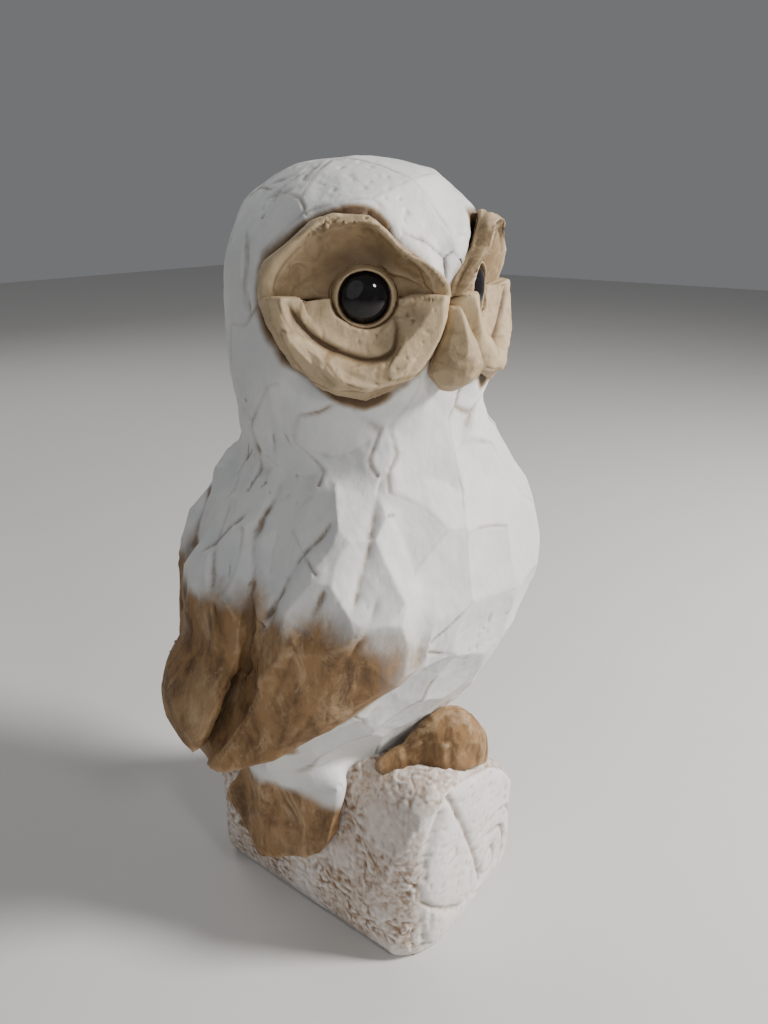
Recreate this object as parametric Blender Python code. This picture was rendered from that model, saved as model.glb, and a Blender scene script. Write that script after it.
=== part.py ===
"""An owl figurine on a short log, cast to look like carved and painted wood.

The origin is at the middle of the underside and +Z is up. The log lies along Y, with its
sawn end towards -Y. The owl stands across it: its breast looks nearly along +X, its tail lies
on the log's -X side, and its head is turned so that the face looks nearly along -Y. Azimuths
are measured about Z, so the owl's right side is at negative angles from its front.
"""

import math

import bmesh
import bpy
import numpy as np
from mathutils import Matrix, Vector

# Clearances and walls
GAP = 0.0003
CAST_WALL = 0.009
LOG_WALL = 0.011

# Log
LOG_LENGTH = 0.170
LOG_WIDTH = 0.126
LOG_HEIGHT = 0.113
LOG_LEAN = 0.20
LOG_END_ROUND = 0.012
LOG_FOOT_TUCK = 0.005

# Closing board and felt
BOARD_THICKNESS = 0.006
FELT_THICKNESS = 0.002
BOARD_CLEARANCE = 0.0005

# Trunk
TRUNK_TOP = 0.302
TRUNK_BOTTOM = 0.112
TRUNK_HALF_WIDTH = 0.0915
TRUNK_FRONT = 0.1035
TRUNK_BACK = 0.0975
TRUNK_YAW = math.radians(-15)

# Head
HEAD_MIDDLE = 0.360
HEAD_TOP = 0.439
HEAD_DROP = 0.126
HEAD_HALF_WIDTH = 0.0700
HEAD_HALF_DEPTH = 0.0665
FACE_YAW = math.radians(-106)
NECK_SOFTNESS = 0.006

# Facial discs, measured from the eye round the head and up or down it
EYE_TURN = math.radians(33)
EYE_HEIGHT = 0.3785
DISC_OUTWARD = 0.0420
DISC_SPLIT = 0.0008
DISC_SEAT = 0.0018
DISC_UP = 0.0347
DISC_DOWN = 0.0446
BROW_PROUD = 0.0115
CHEEK_PROUD = 0.0080
DISH_DEPTH = 0.0100
DISH_SLOPE = 0.0156
DISH_FLOOR = 1.2

# Eyes and beak
EYE_RADIUS = 0.0112
EYE_PROUD = 0.0075
EYE_SEAT = 0.0012
LID_WIDTH = 0.0033
LID_RADIUS = EYE_RADIUS + LID_WIDTH
LID_PROUD = 0.0065
BEAK_TOP = 0.3740
BEAK_LENGTH = 0.0370
BEAK_WIDTH = 0.0215
BEAK_PROUD = 0.0200

# Wings and mantle
WING_SEAT = 0.0012
WING_TOP = 0.295
WING_TIP = 0.134
WING_THICKNESS = 0.008
WING_FLARE = 0.028
MANTLE_TOP = 0.292
MANTLE_END = 0.156
MANTLE_THICKNESS = 0.008
MANTLE_OVERLAP = 0.085
MANTLE_RAMP = 0.024
TOP_THINNING = 0.3

# Tail
TAIL_WIDTH = 0.084
TAIL_THICKNESS = 0.014
TAIL_TIP = 0.039
TAIL_ASIDE = 0.004
TAIL_SWEEP = 0.014

# Feet and the pins that hold them
FOOT_INSET = 0.0305
FOOT_AHEAD = 0.004
FOOT_LENGTH = 0.066
FOOT_WIDTH = 0.026
FOOT_HEIGHT = 0.036
FOOT_TURN = math.radians(20)
FOOT_SINK = 0.006
FOOT_UNDERCUT = 0.012
PIN_RADIUS = 0.002
PIN_DEPTH = 0.014
PIN_OUTWARD = 0.010

# How finely the skins are divided
AROUND = 48
TRUNK_RINGS = 21
CROWN_RINGS = 20
CROWN_EASE = 0.9
LOG_POINTS = 28
LOG_STATIONS = 7
ROUND_POINTS = 24
SMOOTH_ANGLE = math.radians(50)

SIDES = {"right": -1, "left": 1}


# Materials


def material(name, colour, roughness, metallic=0.0):
    made = bpy.data.materials.new(name)
    made.use_nodes = True
    shader = made.node_tree.nodes["Principled BSDF"]
    shader.inputs["Base Color"].default_value = (*colour, 1.0)
    shader.inputs["Roughness"].default_value = roughness
    shader.inputs["Metallic"].default_value = metallic
    return made


# Curves, skins and solids


def curve(points, at):
    """A smooth curve through (place, value) points, read at a place or an array of places."""
    places, values = np.array(points, float).T
    slopes = np.gradient(values, places)
    i = np.clip(np.searchsorted(places, at) - 1, 0, len(places) - 2)
    step = places[i + 1] - places[i]
    s = np.clip((at - places[i]) / step, 0, 1)
    rise = values[i] + (values[i + 1] - values[i]) * (3 - 2 * s) * s**2
    bend = slopes[i] * (s - 2 * s**2 + s**3) + slopes[i + 1] * (s**3 - s**2)
    return rise + step * bend


def ease(start, end, at):
    """0 before start and 1 after end, with a smooth rise between them."""
    s = np.clip((at - start) / (end - start), 0, 1)
    return s * s * (3 - 2 * s)


def polar(azimuth, radius, height):
    return Vector((radius * math.cos(azimuth), radius * math.sin(azimuth), height))


def add(name, bm, paint):
    """Makes an object from a bmesh, with its faces turned outwards."""
    bmesh.ops.recalc_face_normals(bm, faces=bm.faces)
    mesh = bpy.data.meshes.new(name)
    bm.to_mesh(mesh)
    bm.free()
    mesh.shade_smooth()
    mesh.set_sharp_from_angle(angle=SMOOTH_ANGLE)
    made = bpy.data.objects.new(name, mesh)
    made.data.materials.append(paint)
    bpy.context.scene.collection.objects.link(made)
    return made


def cutter(name, bm, paint):
    made = add(name, bm, paint)
    made.hide_render = True
    made.display_type = "WIRE"
    return made


def cut(piece, tool):
    modifier = piece.modifiers.new(tool.name, "BOOLEAN")
    modifier.operation = "DIFFERENCE"
    modifier.solver = "EXACT"
    modifier.object = tool


def strip(bm, row_a, row_b, closed=True):
    """Quads between two rows of vertices of the same length."""
    count = len(row_a)
    for i in range(count if closed else count - 1):
        j = (i + 1) % count
        bm.faces.new((row_a[i], row_a[j], row_b[j], row_b[i]))


def fan(bm, row, point):
    tip = bm.verts.new(point)
    for i, vertex in enumerate(row):
        bm.faces.new((vertex, row[(i + 1) % len(row)], tip))


def loft(rings, start=None, end=None):
    """A skin through closed rings. It closes on the two points, or else end meets start."""
    bm = bmesh.new()
    rows = [[bm.verts.new(point) for point in ring] for ring in rings]
    for row_a, row_b in zip(rows, rows[1:]):
        strip(bm, row_a, row_b)
    if start is None:
        strip(bm, rows[-1], rows[0])
    else:
        fan(bm, rows[0], start)
        fan(bm, rows[-1], end)
    return bm


def slab(outer, inner):
    """A closed sheet between two grids of points of the same size."""
    bm = bmesh.new()
    over = [[bm.verts.new(point) for point in row] for row in outer]
    under = [[bm.verts.new(point) for point in row] for row in inner]
    for grid in (over, under):
        for row_a, row_b in zip(grid, grid[1:]):
            strip(bm, row_a, row_b, closed=False)
    for end in (0, -1):
        strip(bm, over[end], under[end], closed=False)
        strip(bm, [row[end] for row in over], [row[end] for row in under], closed=False)
    return bm


def prism(outline, stations):
    """A block along Y with one outline. Its stations are (place, share of the outline's size)."""
    bm = bmesh.new()
    rows = []
    for y, share in stations:
        rows.append([bm.verts.new((x * share, y, z * share)) for x, z in outline])
    for row_a, row_b in zip(rows, rows[1:]):
        strip(bm, row_a, row_b)
    for row in (rows[0], rows[-1]):
        bm.faces.new(row)
    return bm


def turned(profile, place, direction):
    """The rings of a solid turned about direction, and the frame that they stand in.

    The profile is (radius, distance along), from end to end.
    """
    facing = direction.to_track_quat("Z", "Y").to_matrix().to_4x4()
    frame = Matrix.Translation(place) @ facing
    turns = [2 * math.pi * i / ROUND_POINTS for i in range(ROUND_POINTS)]
    rings = []
    for radius, along in profile:
        rings.append([frame @ polar(turn, radius, along) for turn in turns])
    return rings, frame


# The owl's skin, as a distance from the vertical axis

TRUNK_SQUARENESS = 2.2
HEAD_SQUARENESS = 2.1
CROWN_SQUARENESS = 2.6

# Each profile is (share of HEAD_TOP, share of the trunk's widest measure).
FRONT_PROFILE = ((0.10, 0.30), (0.27, 0.50), (0.36, 0.73), (0.45, 0.90), (0.53, 1.0),
                 (0.60, 0.95), (0.67, 0.81), (0.74, 0.60), (0.82, 0.20), (0.88, 0.02))
BACK_PROFILE = ((0.10, 0.76), (0.27, 0.86), (0.36, 0.94), (0.45, 1.0), (0.53, 0.98),
                (0.60, 0.84), (0.66, 0.65), (0.74, 0.37), (0.82, 0.10), (0.88, 0.02))
SIDE_PROFILE = ((0.10, 0.40), (0.27, 0.46), (0.36, 0.74), (0.45, 0.94), (0.53, 1.0),
                (0.60, 0.91), (0.67, 0.74), (0.74, 0.47), (0.82, 0.15), (0.88, 0.02))


def oval(angle, ahead, aside, power):
    """Radius of a superellipse at an angle from its front."""
    forward = np.abs(np.cos(angle)) / ahead
    sideways = np.abs(np.sin(angle)) / aside
    return (forward**power + sideways**power) ** (-1 / power)


def trunk_radius(azimuth, height):
    level = height / HEAD_TOP
    angle = azimuth - TRUNK_YAW
    front = TRUNK_FRONT * curve(FRONT_PROFILE, level)
    back = TRUNK_BACK * curve(BACK_PROFILE, level)
    depth = np.where(np.cos(angle) > 0, front, back)
    return oval(angle, depth, TRUNK_HALF_WIDTH * curve(SIDE_PROFILE, level), TRUNK_SQUARENESS)


def head_radius(azimuth, height):
    rise = np.clip((height - HEAD_MIDDLE) / (HEAD_TOP - HEAD_MIDDLE), 0, 1)
    drop = np.clip((HEAD_MIDDLE - height) / HEAD_DROP, 0, 1)
    crown = (1 - rise**CROWN_SQUARENESS) ** (1 / CROWN_SQUARENESS)
    jaw = np.sqrt(1 - drop**2)
    oval_radius = oval(azimuth - FACE_YAW, HEAD_HALF_DEPTH, HEAD_HALF_WIDTH, HEAD_SQUARENESS)
    return np.minimum(crown, jaw) * oval_radius


def eye_dish(azimuth, height):
    """Depth of the hollow that each eye stands in."""
    depth = 0.0
    for side in SIDES.values():
        turn = np.angle(np.exp(1j * (azimuth - FACE_YAW - side * EYE_TURN)))
        reach = np.hypot(turn * HEAD_HALF_DEPTH, height - EYE_HEIGHT)
        floor = DISH_FLOOR * LID_RADIUS
        depth = depth + DISH_DEPTH * (1 - ease(floor, floor + DISH_SLOPE, reach))
    return depth


def owl_radius(azimuth, height):
    """The trunk and the head as one skin, with a soft valley at the neck."""
    trunk = trunk_radius(azimuth, height)
    head = head_radius(azimuth, height)
    blend = 0.5 * NECK_SOFTNESS * np.exp(-np.abs(trunk - head) / NECK_SOFTNESS)
    return np.maximum(trunk, head) + blend - eye_dish(azimuth, height)


def owl_ring(height, inset=0.0):
    turns = [2 * math.pi * i / AROUND for i in range(AROUND)]
    return [polar(a, float(owl_radius(a, height)) - inset, height) for a in turns]


# Log, board and felt


def log_top(x):
    """Height of the log's top above the underside at a distance x from its middle."""
    share = 2 * x / LOG_WIDTH
    return (1 - abs(share) ** 3) ** (1 / 3) * LOG_HEIGHT * (1 - LOG_LEAN * share)


def log_section(grow=0.0, floor=0.0):
    """The log's outline across its length: a round top that leans to -X, and a flat bottom."""
    outline = []
    for i in range(LOG_POINTS + 1):
        turn = math.cos(math.pi * i / LOG_POINTS)
        x = LOG_WIDTH / 2 * math.copysign(abs(turn) ** 0.75, turn)
        at_floor = i in (0, LOG_POINTS)
        z = floor if at_floor else log_top(x) + grow
        tuck = 1 - LOG_FOOT_TUCK * 2 / LOG_WIDTH if at_floor else 1
        outline.append((x * tuck * (1 + 2 * grow / LOG_WIDTH), z))
    return outline


def make_log(paint):
    flat = LOG_LENGTH / 2 - LOG_END_ROUND
    stations = [(y, 1) for y in np.linspace(-flat, flat, LOG_STATIONS)]
    for turn in (math.pi / 6, math.pi / 3, math.pi / 2):
        y = flat + LOG_END_ROUND * math.sin(turn)
        share = 1 - LOG_END_ROUND * (1 - math.cos(turn)) / LOG_WIDTH
        stations = [(-y, share), *stations, (y, share)]
    log = add("log", prism(log_section(), stations), paint)
    reach = LOG_LENGTH / 2 - LOG_WALL
    hollow = log_section(-LOG_WALL, -LOG_WALL)
    cut(log, cutter("log_hollow", prism(hollow, [(-reach, 1), (reach, 1)]), paint))
    return log


def plate(name, bottom, thickness, paint):
    """A plate that fits the log's open underside."""
    hollow = log_section(-LOG_WALL, -LOG_WALL)
    half_x = abs(hollow[0][0]) - BOARD_CLEARANCE
    half_y = LOG_LENGTH / 2 - LOG_WALL - BOARD_CLEARANCE
    top = bottom + thickness
    outline = [(-half_x, bottom), (half_x, bottom), (half_x, top), (-half_x, top)]
    return add(name, prism(outline, [(-half_y, 1), (half_y, 1)]), paint)


# Trunk and hood


def make_trunk(paint):
    heights = np.linspace(TRUNK_BOTTOM, TRUNK_TOP, TRUNK_RINGS)
    outside = [owl_ring(z) for z in heights]
    inside = [owl_ring(z, CAST_WALL) for z in heights[::-2]]
    return add("trunk", loft(outside + inside), paint)


def make_hood(paint):
    neck = TRUNK_TOP + GAP
    rise = np.sin(math.pi / 2 * np.linspace(0, 1, CROWN_RINGS + 1) ** CROWN_EASE)[:-1]
    outside = [owl_ring(z) for z in neck + (HEAD_TOP - neck) * rise[::-1]]
    inner_top = HEAD_TOP - CAST_WALL
    inside = []
    wall_share = 1 - CAST_WALL / HEAD_HALF_WIDTH
    for share in rise[::2]:
        z = neck + (inner_top - neck) * share
        ring = owl_ring(neck + (HEAD_TOP - neck) * share)
        inside.append([Vector((p.x * wall_share, p.y * wall_share, z)) for p in ring])
    crown = Vector((0, 0, HEAD_TOP))
    return add("hood", loft(outside + inside, crown, Vector((0, 0, inner_top))), paint)


# Face

DISC_ROWS = 7
DISC_COLUMNS = 13
BROW_POWERS = (2.2, 1.6)
CHEEK_POWERS = (1.6, 1.65)

# How proud the discs stand, as shares of BROW_PROUD and CHEEK_PROUD
BROW_SCOOP = 0.35
BROW_EDGE_DROP = 0.45
BROW_ENDS = 0.45
CHEEK_BASE = 0.75
CHEEK_FALL = 0.45

# Each is (share of the beak's length from its top, share of its largest size).
BEAK_WIDTHS = ((0.0, 0.28), (0.25, 0.45), (0.5, 0.85), (0.7, 1.0), (0.88, 0.72), (1.0, 0.3))
BEAK_HEIGHTS = ((0.0, 0.45), (0.25, 0.7), (0.5, 0.95), (0.7, 1.0), (0.88, 0.75), (1.0, 0.35))
BEAK_RINGS = 9
BEAK_FRONT_POINTS = 10
BEAK_BACK_POINTS = 6
BEAK_END_SHARES = (0.2, 0.12)


def eye_ring_radius():
    """Distance of the hollow's floor from the vertical axis."""
    return float(owl_radius(FACE_YAW + EYE_TURN, EYE_HEIGHT))


def disc_reach(turn, rise, powers):
    """Distance from the eye to the disc's edge. Turn 0 points away from the beak."""
    outward = math.cos(turn) >= 0
    across = DISC_OUTWARD if outward else EYE_TURN * eye_ring_radius() - DISC_SPLIT
    power = powers[0] if outward else powers[1]
    return oval(turn, across, rise, power)


def face_point(side, across, up, proud):
    """A point on the head, at distances from the eye: round it away from the beak, and up."""
    azimuth = FACE_YAW + side * (EYE_TURN + across / eye_ring_radius())
    height = EYE_HEIGHT + up
    return polar(azimuth, float(owl_radius(azimuth, height)) + DISC_SEAT + proud, height)


def brow_proud(share, turn):
    """The brow: scooped out round the eye, with a raised rim."""
    rim = ease(0.55, 0.85, share) * (1 - BROW_EDGE_DROP * ease(0.9, 1.0, share))
    middle = BROW_ENDS + (1 - BROW_ENDS) * math.sin(turn) ** 0.5
    return BROW_PROUD * (BROW_SCOOP + (1 - BROW_SCOOP) * rim) * middle


def cheek_proud(share, turn):
    """The cheek: a full, rounded pad that falls away to its rim."""
    full = CHEEK_BASE + (1 - CHEEK_BASE) * math.sin(math.pi * share)
    return CHEEK_PROUD * (full - CHEEK_FALL * ease(CHEEK_BASE, 1.0, share))


def make_disc_half(name, side, upper, paint):
    start = 0.0 if upper else math.pi
    rise = DISC_UP if upper else DISC_DOWN
    powers = BROW_POWERS if upper else CHEEK_POWERS
    shift = GAP if upper else -GAP
    hole = LID_RADIUS + GAP
    outer = []
    inner = []
    for column in np.linspace(0, math.pi, DISC_COLUMNS):
        turn = start + column
        edge = disc_reach(turn, rise, powers)
        row_out = []
        row_in = []
        for share in np.linspace(0, 1, DISC_ROWS):
            reach = hole + (edge - hole) * share
            across = reach * math.cos(turn)
            up = reach * math.sin(turn) + shift
            proud = brow_proud(share, column) if upper else cheek_proud(share, column)
            row_out.append(face_point(side, across, up, proud))
            row_in.append(face_point(side, across, up, 0.0))
        outer.append(row_out)
        inner.append(row_in)
    return add(name, slab(outer, inner), paint)


def eye_frame(side):
    """Where the eye stands on the head, and the way it looks."""
    azimuth = FACE_YAW + side * EYE_TURN
    back = float(owl_radius(azimuth, EYE_HEIGHT)) + GAP + EYE_SEAT
    return polar(azimuth, back, EYE_HEIGHT), Vector((math.cos(azimuth), math.sin(azimuth), 0))


def make_eye(name, side, paint):
    place, direction = eye_frame(side)
    dome = [math.pi / 2 * i / 6 for i in range(6)]
    profile = [(EYE_RADIUS * 0.9, 0)]
    profile += [(EYE_RADIUS * math.cos(t), EYE_PROUD * (0.35 + 0.65 * math.sin(t))) for t in dome]
    rings, frame = turned(profile, place, direction)
    return add(name, loft(rings, place, frame @ Vector((0, 0, EYE_PROUD))), paint)


def make_lid(name, side, paint):
    place, direction = eye_frame(side)
    inner = EYE_RADIUS + GAP
    middle = (inner + LID_RADIUS) / 2
    profile = [(LID_RADIUS, 0), (LID_RADIUS, LID_PROUD * 0.6), (middle, LID_PROUD),
               (inner, LID_PROUD * 0.7), (inner, 0)]
    return add(name, loft(turned(profile, place, direction)[0]), paint)


def beak_loft(grow=0.0):
    """A drop that is narrow at the brow, full below the middle, and pointed at its tip."""
    front = np.linspace(0, math.pi, BEAK_FRONT_POINTS + 1)
    back = np.linspace(math.pi, 0, BEAK_BACK_POINTS + 1)[1:-1]
    rings = []
    for share in np.linspace(0, 1, BEAK_RINGS):
        height = BEAK_TOP - BEAK_LENGTH * share
        half = BEAK_WIDTH / 2 * float(curve(BEAK_WIDTHS, share)) + grow
        proud = BEAK_PROUD * float(curve(BEAK_HEIGHTS, share)) + grow
        ring = []
        for turn in (*front, *back):
            azimuth = FACE_YAW + half * math.cos(turn) / HEAD_HALF_DEPTH
            radius = float(owl_radius(azimuth, height)) + DISC_SEAT - 2 * grow
            if len(ring) <= BEAK_FRONT_POINTS:
                radius += proud * max(math.sin(turn), 0.0) ** 0.8
            ring.append(polar(azimuth, radius, height))
        rings.append(ring)
    ends = []
    for height, beyond, share in zip((BEAK_TOP, BEAK_TOP - BEAK_LENGTH), (2 * grow, -2 * grow),
                                     BEAK_END_SHARES):
        radius = float(owl_radius(FACE_YAW, height)) + DISC_SEAT + BEAK_PROUD * share
        ends.append(polar(FACE_YAW, radius, height + beyond))
    return loft(rings, *ends)


# Wings and mantle, on angles from the breast's direction

WING_ROWS = 19
WING_COLUMNS = 11

# Each is (share of the wing's length, angle in degrees), or with a share of the wing's height.
WING_FRONT_ANGLES = ((0.0, 118), (0.2, 112), (0.44, 109), (0.6, 119), (0.8, 142), (1.0, 171))
WING_FRONT_DROPS = ((0.0, 0.0), (0.2, 0.22), (0.44, 0.52), (0.6, 0.66), (0.8, 0.82), (1.0, 0.98))
WING_BACK_ANGLES = ((0.0, 148), (0.2, 151), (0.42, 153), (0.6, 158), (0.8, 167), (1.0, 177))
WING_BACK_DROPS = ((0.0, 0.03), (0.2, 0.2), (0.42, 0.44), (0.6, 0.62), (0.8, 0.81), (1.0, 1.0))
MANTLE_HALF_ANGLES = ((0.0, 13), (0.22, 14), (0.45, 19), (0.62, 17), (0.85, 14), (1.0, 9))


def wing_flare(angle, height):
    """How far the folded wings stand out behind the trunk, more towards their tips."""
    length = WING_TOP - WING_TIP
    down = ease(0.5, 1.05, (WING_TOP - height) / length)
    behind = ease(math.radians(112), math.radians(172), abs(angle))
    return WING_FLARE * down * behind


def rounded_edge(share, softness):
    """1 in the middle of a strip and less at its two edges."""
    return min(1.0, min(share, 1 - share) / softness) ** 0.5


def make_wing(name, side, paint):
    outer = []
    inner = []
    for v in np.linspace(0, 1, WING_ROWS):
        row_out = []
        row_in = []
        for u in np.linspace(0, 1, WING_COLUMNS):
            front = (float(curve(WING_FRONT_ANGLES, v)), float(curve(WING_FRONT_DROPS, v)))
            back = (float(curve(WING_BACK_ANGLES, v)), float(curve(WING_BACK_DROPS, v)))
            angle = side * math.radians(front[0] + (back[0] - front[0]) * u)
            drop = front[1] + (back[1] - front[1]) * u
            height = WING_TOP - (WING_TOP - WING_TIP) * drop
            azimuth = TRUNK_YAW + angle
            skin = float(owl_radius(azimuth, height)) + WING_SEAT
            grown = TOP_THINNING + (1 - TOP_THINNING) * ease(0.0, 0.35, v)
            full = WING_THICKNESS * grown + wing_flare(angle, height)
            edge = 0.45 + 0.55 * rounded_edge(u, 0.2) * min(1.0, (1 - v) / 0.1) ** 0.5
            row_in.append(polar(azimuth, skin, height))
            row_out.append(polar(azimuth, skin + full * edge, height))
        outer.append(row_out)
        inner.append(row_in)
    return add(name, slab(outer, inner), paint)


def make_mantle(paint):
    """The bundle of long back feathers that lies over the wings' tips."""
    outer = []
    inner = []
    for v in np.linspace(0, 1, WING_ROWS):
        height = MANTLE_TOP - (MANTLE_TOP - MANTLE_END) * v
        half = math.radians(float(curve(MANTLE_HALF_ANGLES, v)))
        over_wings = ease(0.0, MANTLE_RAMP, WING_TOP - MANTLE_OVERLAP - height)
        row_out = []
        row_in = []
        for u in np.linspace(-1, 1, WING_COLUMNS):
            angle = math.pi + half * u
            azimuth = TRUNK_YAW + angle
            skin = float(owl_radius(azimuth, height)) + WING_SEAT
            flare = wing_flare(math.pi - abs(half * u), height)
            lift = (WING_THICKNESS + GAP) * over_wings + flare
            full = MANTLE_THICKNESS * (TOP_THINNING + (1 - TOP_THINNING) * ease(0.0, 0.4, v))
            edge = 0.5 + 0.5 * rounded_edge((u + 1) / 2, 0.25) * min(1.0, (1 - v) / 0.12) ** 0.5
            row_in.append(polar(azimuth, skin + lift, height))
            row_out.append(polar(azimuth, skin + lift + full * edge, height))
        outer.append(row_out)
        inner.append(row_in)
    return add("mantle", slab(outer, inner), paint)


# Tail

TAIL_ROWS = 9
TAIL_POINTS = 9
TAIL_NARROWING = 0.12
TAIL_TIP_ROUND = 0.92
TAIL_EDGE_THINNING = 0.35


def make_tail(paint):
    """A broad tail in long facets, flat on the log's side and round at its tip."""
    top = TRUNK_BOTTOM - GAP
    rings = []
    for share in np.sin(np.linspace(0, math.pi / 2, TAIL_ROWS + 1))[:-1]:
        height = top - (top - TAIL_TIP) * share
        rounded = 1 - TAIL_TIP_ROUND * ease(0.45, 1.0, share) ** 2
        half = TAIL_WIDTH / 2 * (1 - TAIL_NARROWING * share) * rounded
        middle = TAIL_SWEEP * share + TAIL_ASIDE
        ring = []
        for i in range(TAIL_POINTS):
            u = 1 - 2 * i / (TAIL_POINTS - 1)
            y = middle + half * u
            azimuth = math.atan2(y, -LOG_WIDTH / 2)
            skin = float(owl_radius(azimuth, TRUNK_BOTTOM))
            least = LOG_WIDTH / 2 + TAIL_THICKNESS / 2
            trunk_x = -max(math.sqrt(max(skin**2 - y**2, 0.0)), least)
            low_x = -(LOG_WIDTH / 2 + TAIL_THICKNESS * (1 - TAIL_EDGE_THINNING * u**4))
            ring.append(Vector((trunk_x + (low_x - trunk_x) * share, y, height)))
        for u in (-1, 1):
            ring.append(Vector((-LOG_WIDTH * 0.4, middle + half * u, height)))
        rings.append(ring)
    above = Vector((-LOG_WIDTH * 0.5, TAIL_ASIDE, top))
    tip = Vector((-LOG_WIDTH * 0.5, TAIL_SWEEP + TAIL_ASIDE, TAIL_TIP))
    return add("tail", loft(rings, above, tip), paint)


# Feet and pins

# Each is (share of the foot's length from its heel, share of its largest size).
FOOT_WIDTHS = ((0.0, 0.3), (0.25, 0.5), (0.5, 0.85), (0.75, 1.0), (0.92, 0.8), (1.0, 0.45))
FOOT_HEIGHTS = ((0.0, 0.3), (0.25, 0.55), (0.5, 0.95), (0.72, 1.0), (0.9, 0.75), (1.0, 0.45))
FOOT_RINGS = 9
FOOT_POINTS = 14


def foot_place(side):
    """The foot's middle on the log, and the way its toes point."""
    ahead = Vector((math.cos(TRUNK_YAW), math.sin(TRUNK_YAW), 0))
    aside = Vector((-ahead.y, ahead.x, 0)) * side
    place = ahead * FOOT_AHEAD + aside * (TRUNK_HALF_WIDTH - FOOT_INSET)
    toes = Matrix.Rotation(side * FOOT_TURN, 3, "Z") @ ahead
    return place, toes


def make_foot(name, side, paint):
    """A rounded foot with raised knuckles in front and a hind toe that reaches back."""
    place, toes = foot_place(side)
    across = Vector((-toes.y, toes.x, 0))
    ground = log_top(place.x) - FOOT_SINK
    rings = []
    for share in np.linspace(0, 1, FOOT_RINGS):
        centre = place + toes * FOOT_LENGTH * (share - 0.5)
        half = FOOT_WIDTH / 2 * float(curve(FOOT_WIDTHS, share))
        rise = FOOT_HEIGHT * float(curve(FOOT_HEIGHTS, share))
        ring = []
        for i in range(FOOT_POINTS):
            turn = 2 * math.pi * i / FOOT_POINTS
            full = (rise + FOOT_UNDERCUT) * (0.5 + 0.5 * math.sin(turn))
            lift = ground - FOOT_UNDERCUT + full
            ring.append(centre + across * half * math.cos(turn) + Vector((0, 0, lift)))
        rings.append(ring)
    ends = []
    for ring in (rings[0], rings[-1]):
        ends.append(sum(ring, Vector()) / len(ring))
    return add(name, loft(rings, *ends), paint)


def pin_loft(side, radius, below, above):
    """An upright pin through the log's top, towards the outside of the foot."""
    place = foot_place(side)[0]
    place += Vector((-math.sin(TRUNK_YAW), math.cos(TRUNK_YAW), 0)) * side * PIN_OUTWARD
    middle = Vector((place.x, place.y, log_top(place.x)))
    rings, frame = turned([(radius, -below), (radius, above)], middle, Vector((0, 0, 1)))
    return loft(rings, frame @ Vector((0, 0, -below)), frame @ Vector((0, 0, above)))


def build():
    for old in list(bpy.data.objects):
        bpy.data.objects.remove(old)
    white = material("white_paint", (0.78, 0.78, 0.76), 0.6)
    taupe = material("taupe_paint", (0.40, 0.32, 0.22), 0.6)
    brown = material("brown_paint", (0.24, 0.14, 0.06), 0.55)
    bark = material("bark_paint", (0.58, 0.52, 0.48), 0.75)
    glass = material("black_glass", (0.01, 0.01, 0.01), 0.08)
    board = material("grey_board", (0.25, 0.24, 0.22), 0.8)
    felt = material("dark_felt", (0.04, 0.05, 0.04), 0.95)
    steel = material("steel", (0.55, 0.55, 0.56), 0.35, 1.0)

    log = make_log(bark)
    plate("felt", 0.0, FELT_THICKNESS, felt)
    plate("board", FELT_THICKNESS + GAP, BOARD_THICKNESS, board)
    trunk = make_trunk(white)
    make_hood(white)
    tail = make_tail(brown)
    make_mantle(brown)
    add("beak", beak_loft(), taupe)

    reach = LOG_LENGTH / 2 + GAP
    grown_log = prism(log_section(GAP, -GAP), [(-reach, 1), (reach, 1)])
    log_space = cutter("log_space", grown_log, board)
    heights = np.linspace(TRUNK_BOTTOM - FOOT_HEIGHT, TRUNK_TOP, TRUNK_RINGS + 3)
    rings = [owl_ring(z, -GAP) for z in heights]
    bottom = Vector((0, 0, heights[0]))
    trunk_space = cutter("trunk_space", loft(rings, bottom, Vector((0, 0, TRUNK_TOP))), board)
    beak_space = cutter("beak_space", beak_loft(GAP), board)
    cut(trunk, log_space)
    cut(tail, log_space)

    for word, side in SIDES.items():
        make_disc_half(f"brow_{word}", side, True, taupe)
        cut(make_disc_half(f"cheek_{word}", side, False, taupe), beak_space)
        make_eye(f"eye_{word}", side, glass)
        make_lid(f"lid_{word}", side, taupe)
        make_wing(f"wing_{word}", side, brown)
        foot = make_foot(f"foot_{word}", side, brown)
        add(f"pin_{word}", pin_loft(side, PIN_RADIUS, LOG_WALL, PIN_DEPTH), steel)
        hole = pin_loft(side, PIN_RADIUS + GAP, PIN_DEPTH + 2 * GAP, PIN_DEPTH + GAP)
        pin_space = cutter(f"pin_space_{word}", hole, board)
        for tool in (log_space, trunk_space, pin_space):
            cut(foot, tool)
        cut(log, pin_space)


build()
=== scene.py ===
"""Looks for the owl figurine: a cast surface carved like wood, painted white, taupe and brown.

The visible skin is grown from the frame's own solids. Trunk, hood, wings, mantle and tail are
fused into one skin, cut with chisel facets and grooves, and then parted again by node.
"""

import math

import bmesh
import bpy
import numpy as np
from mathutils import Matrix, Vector
from mathutils.bvhtree import BVHTree


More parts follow.
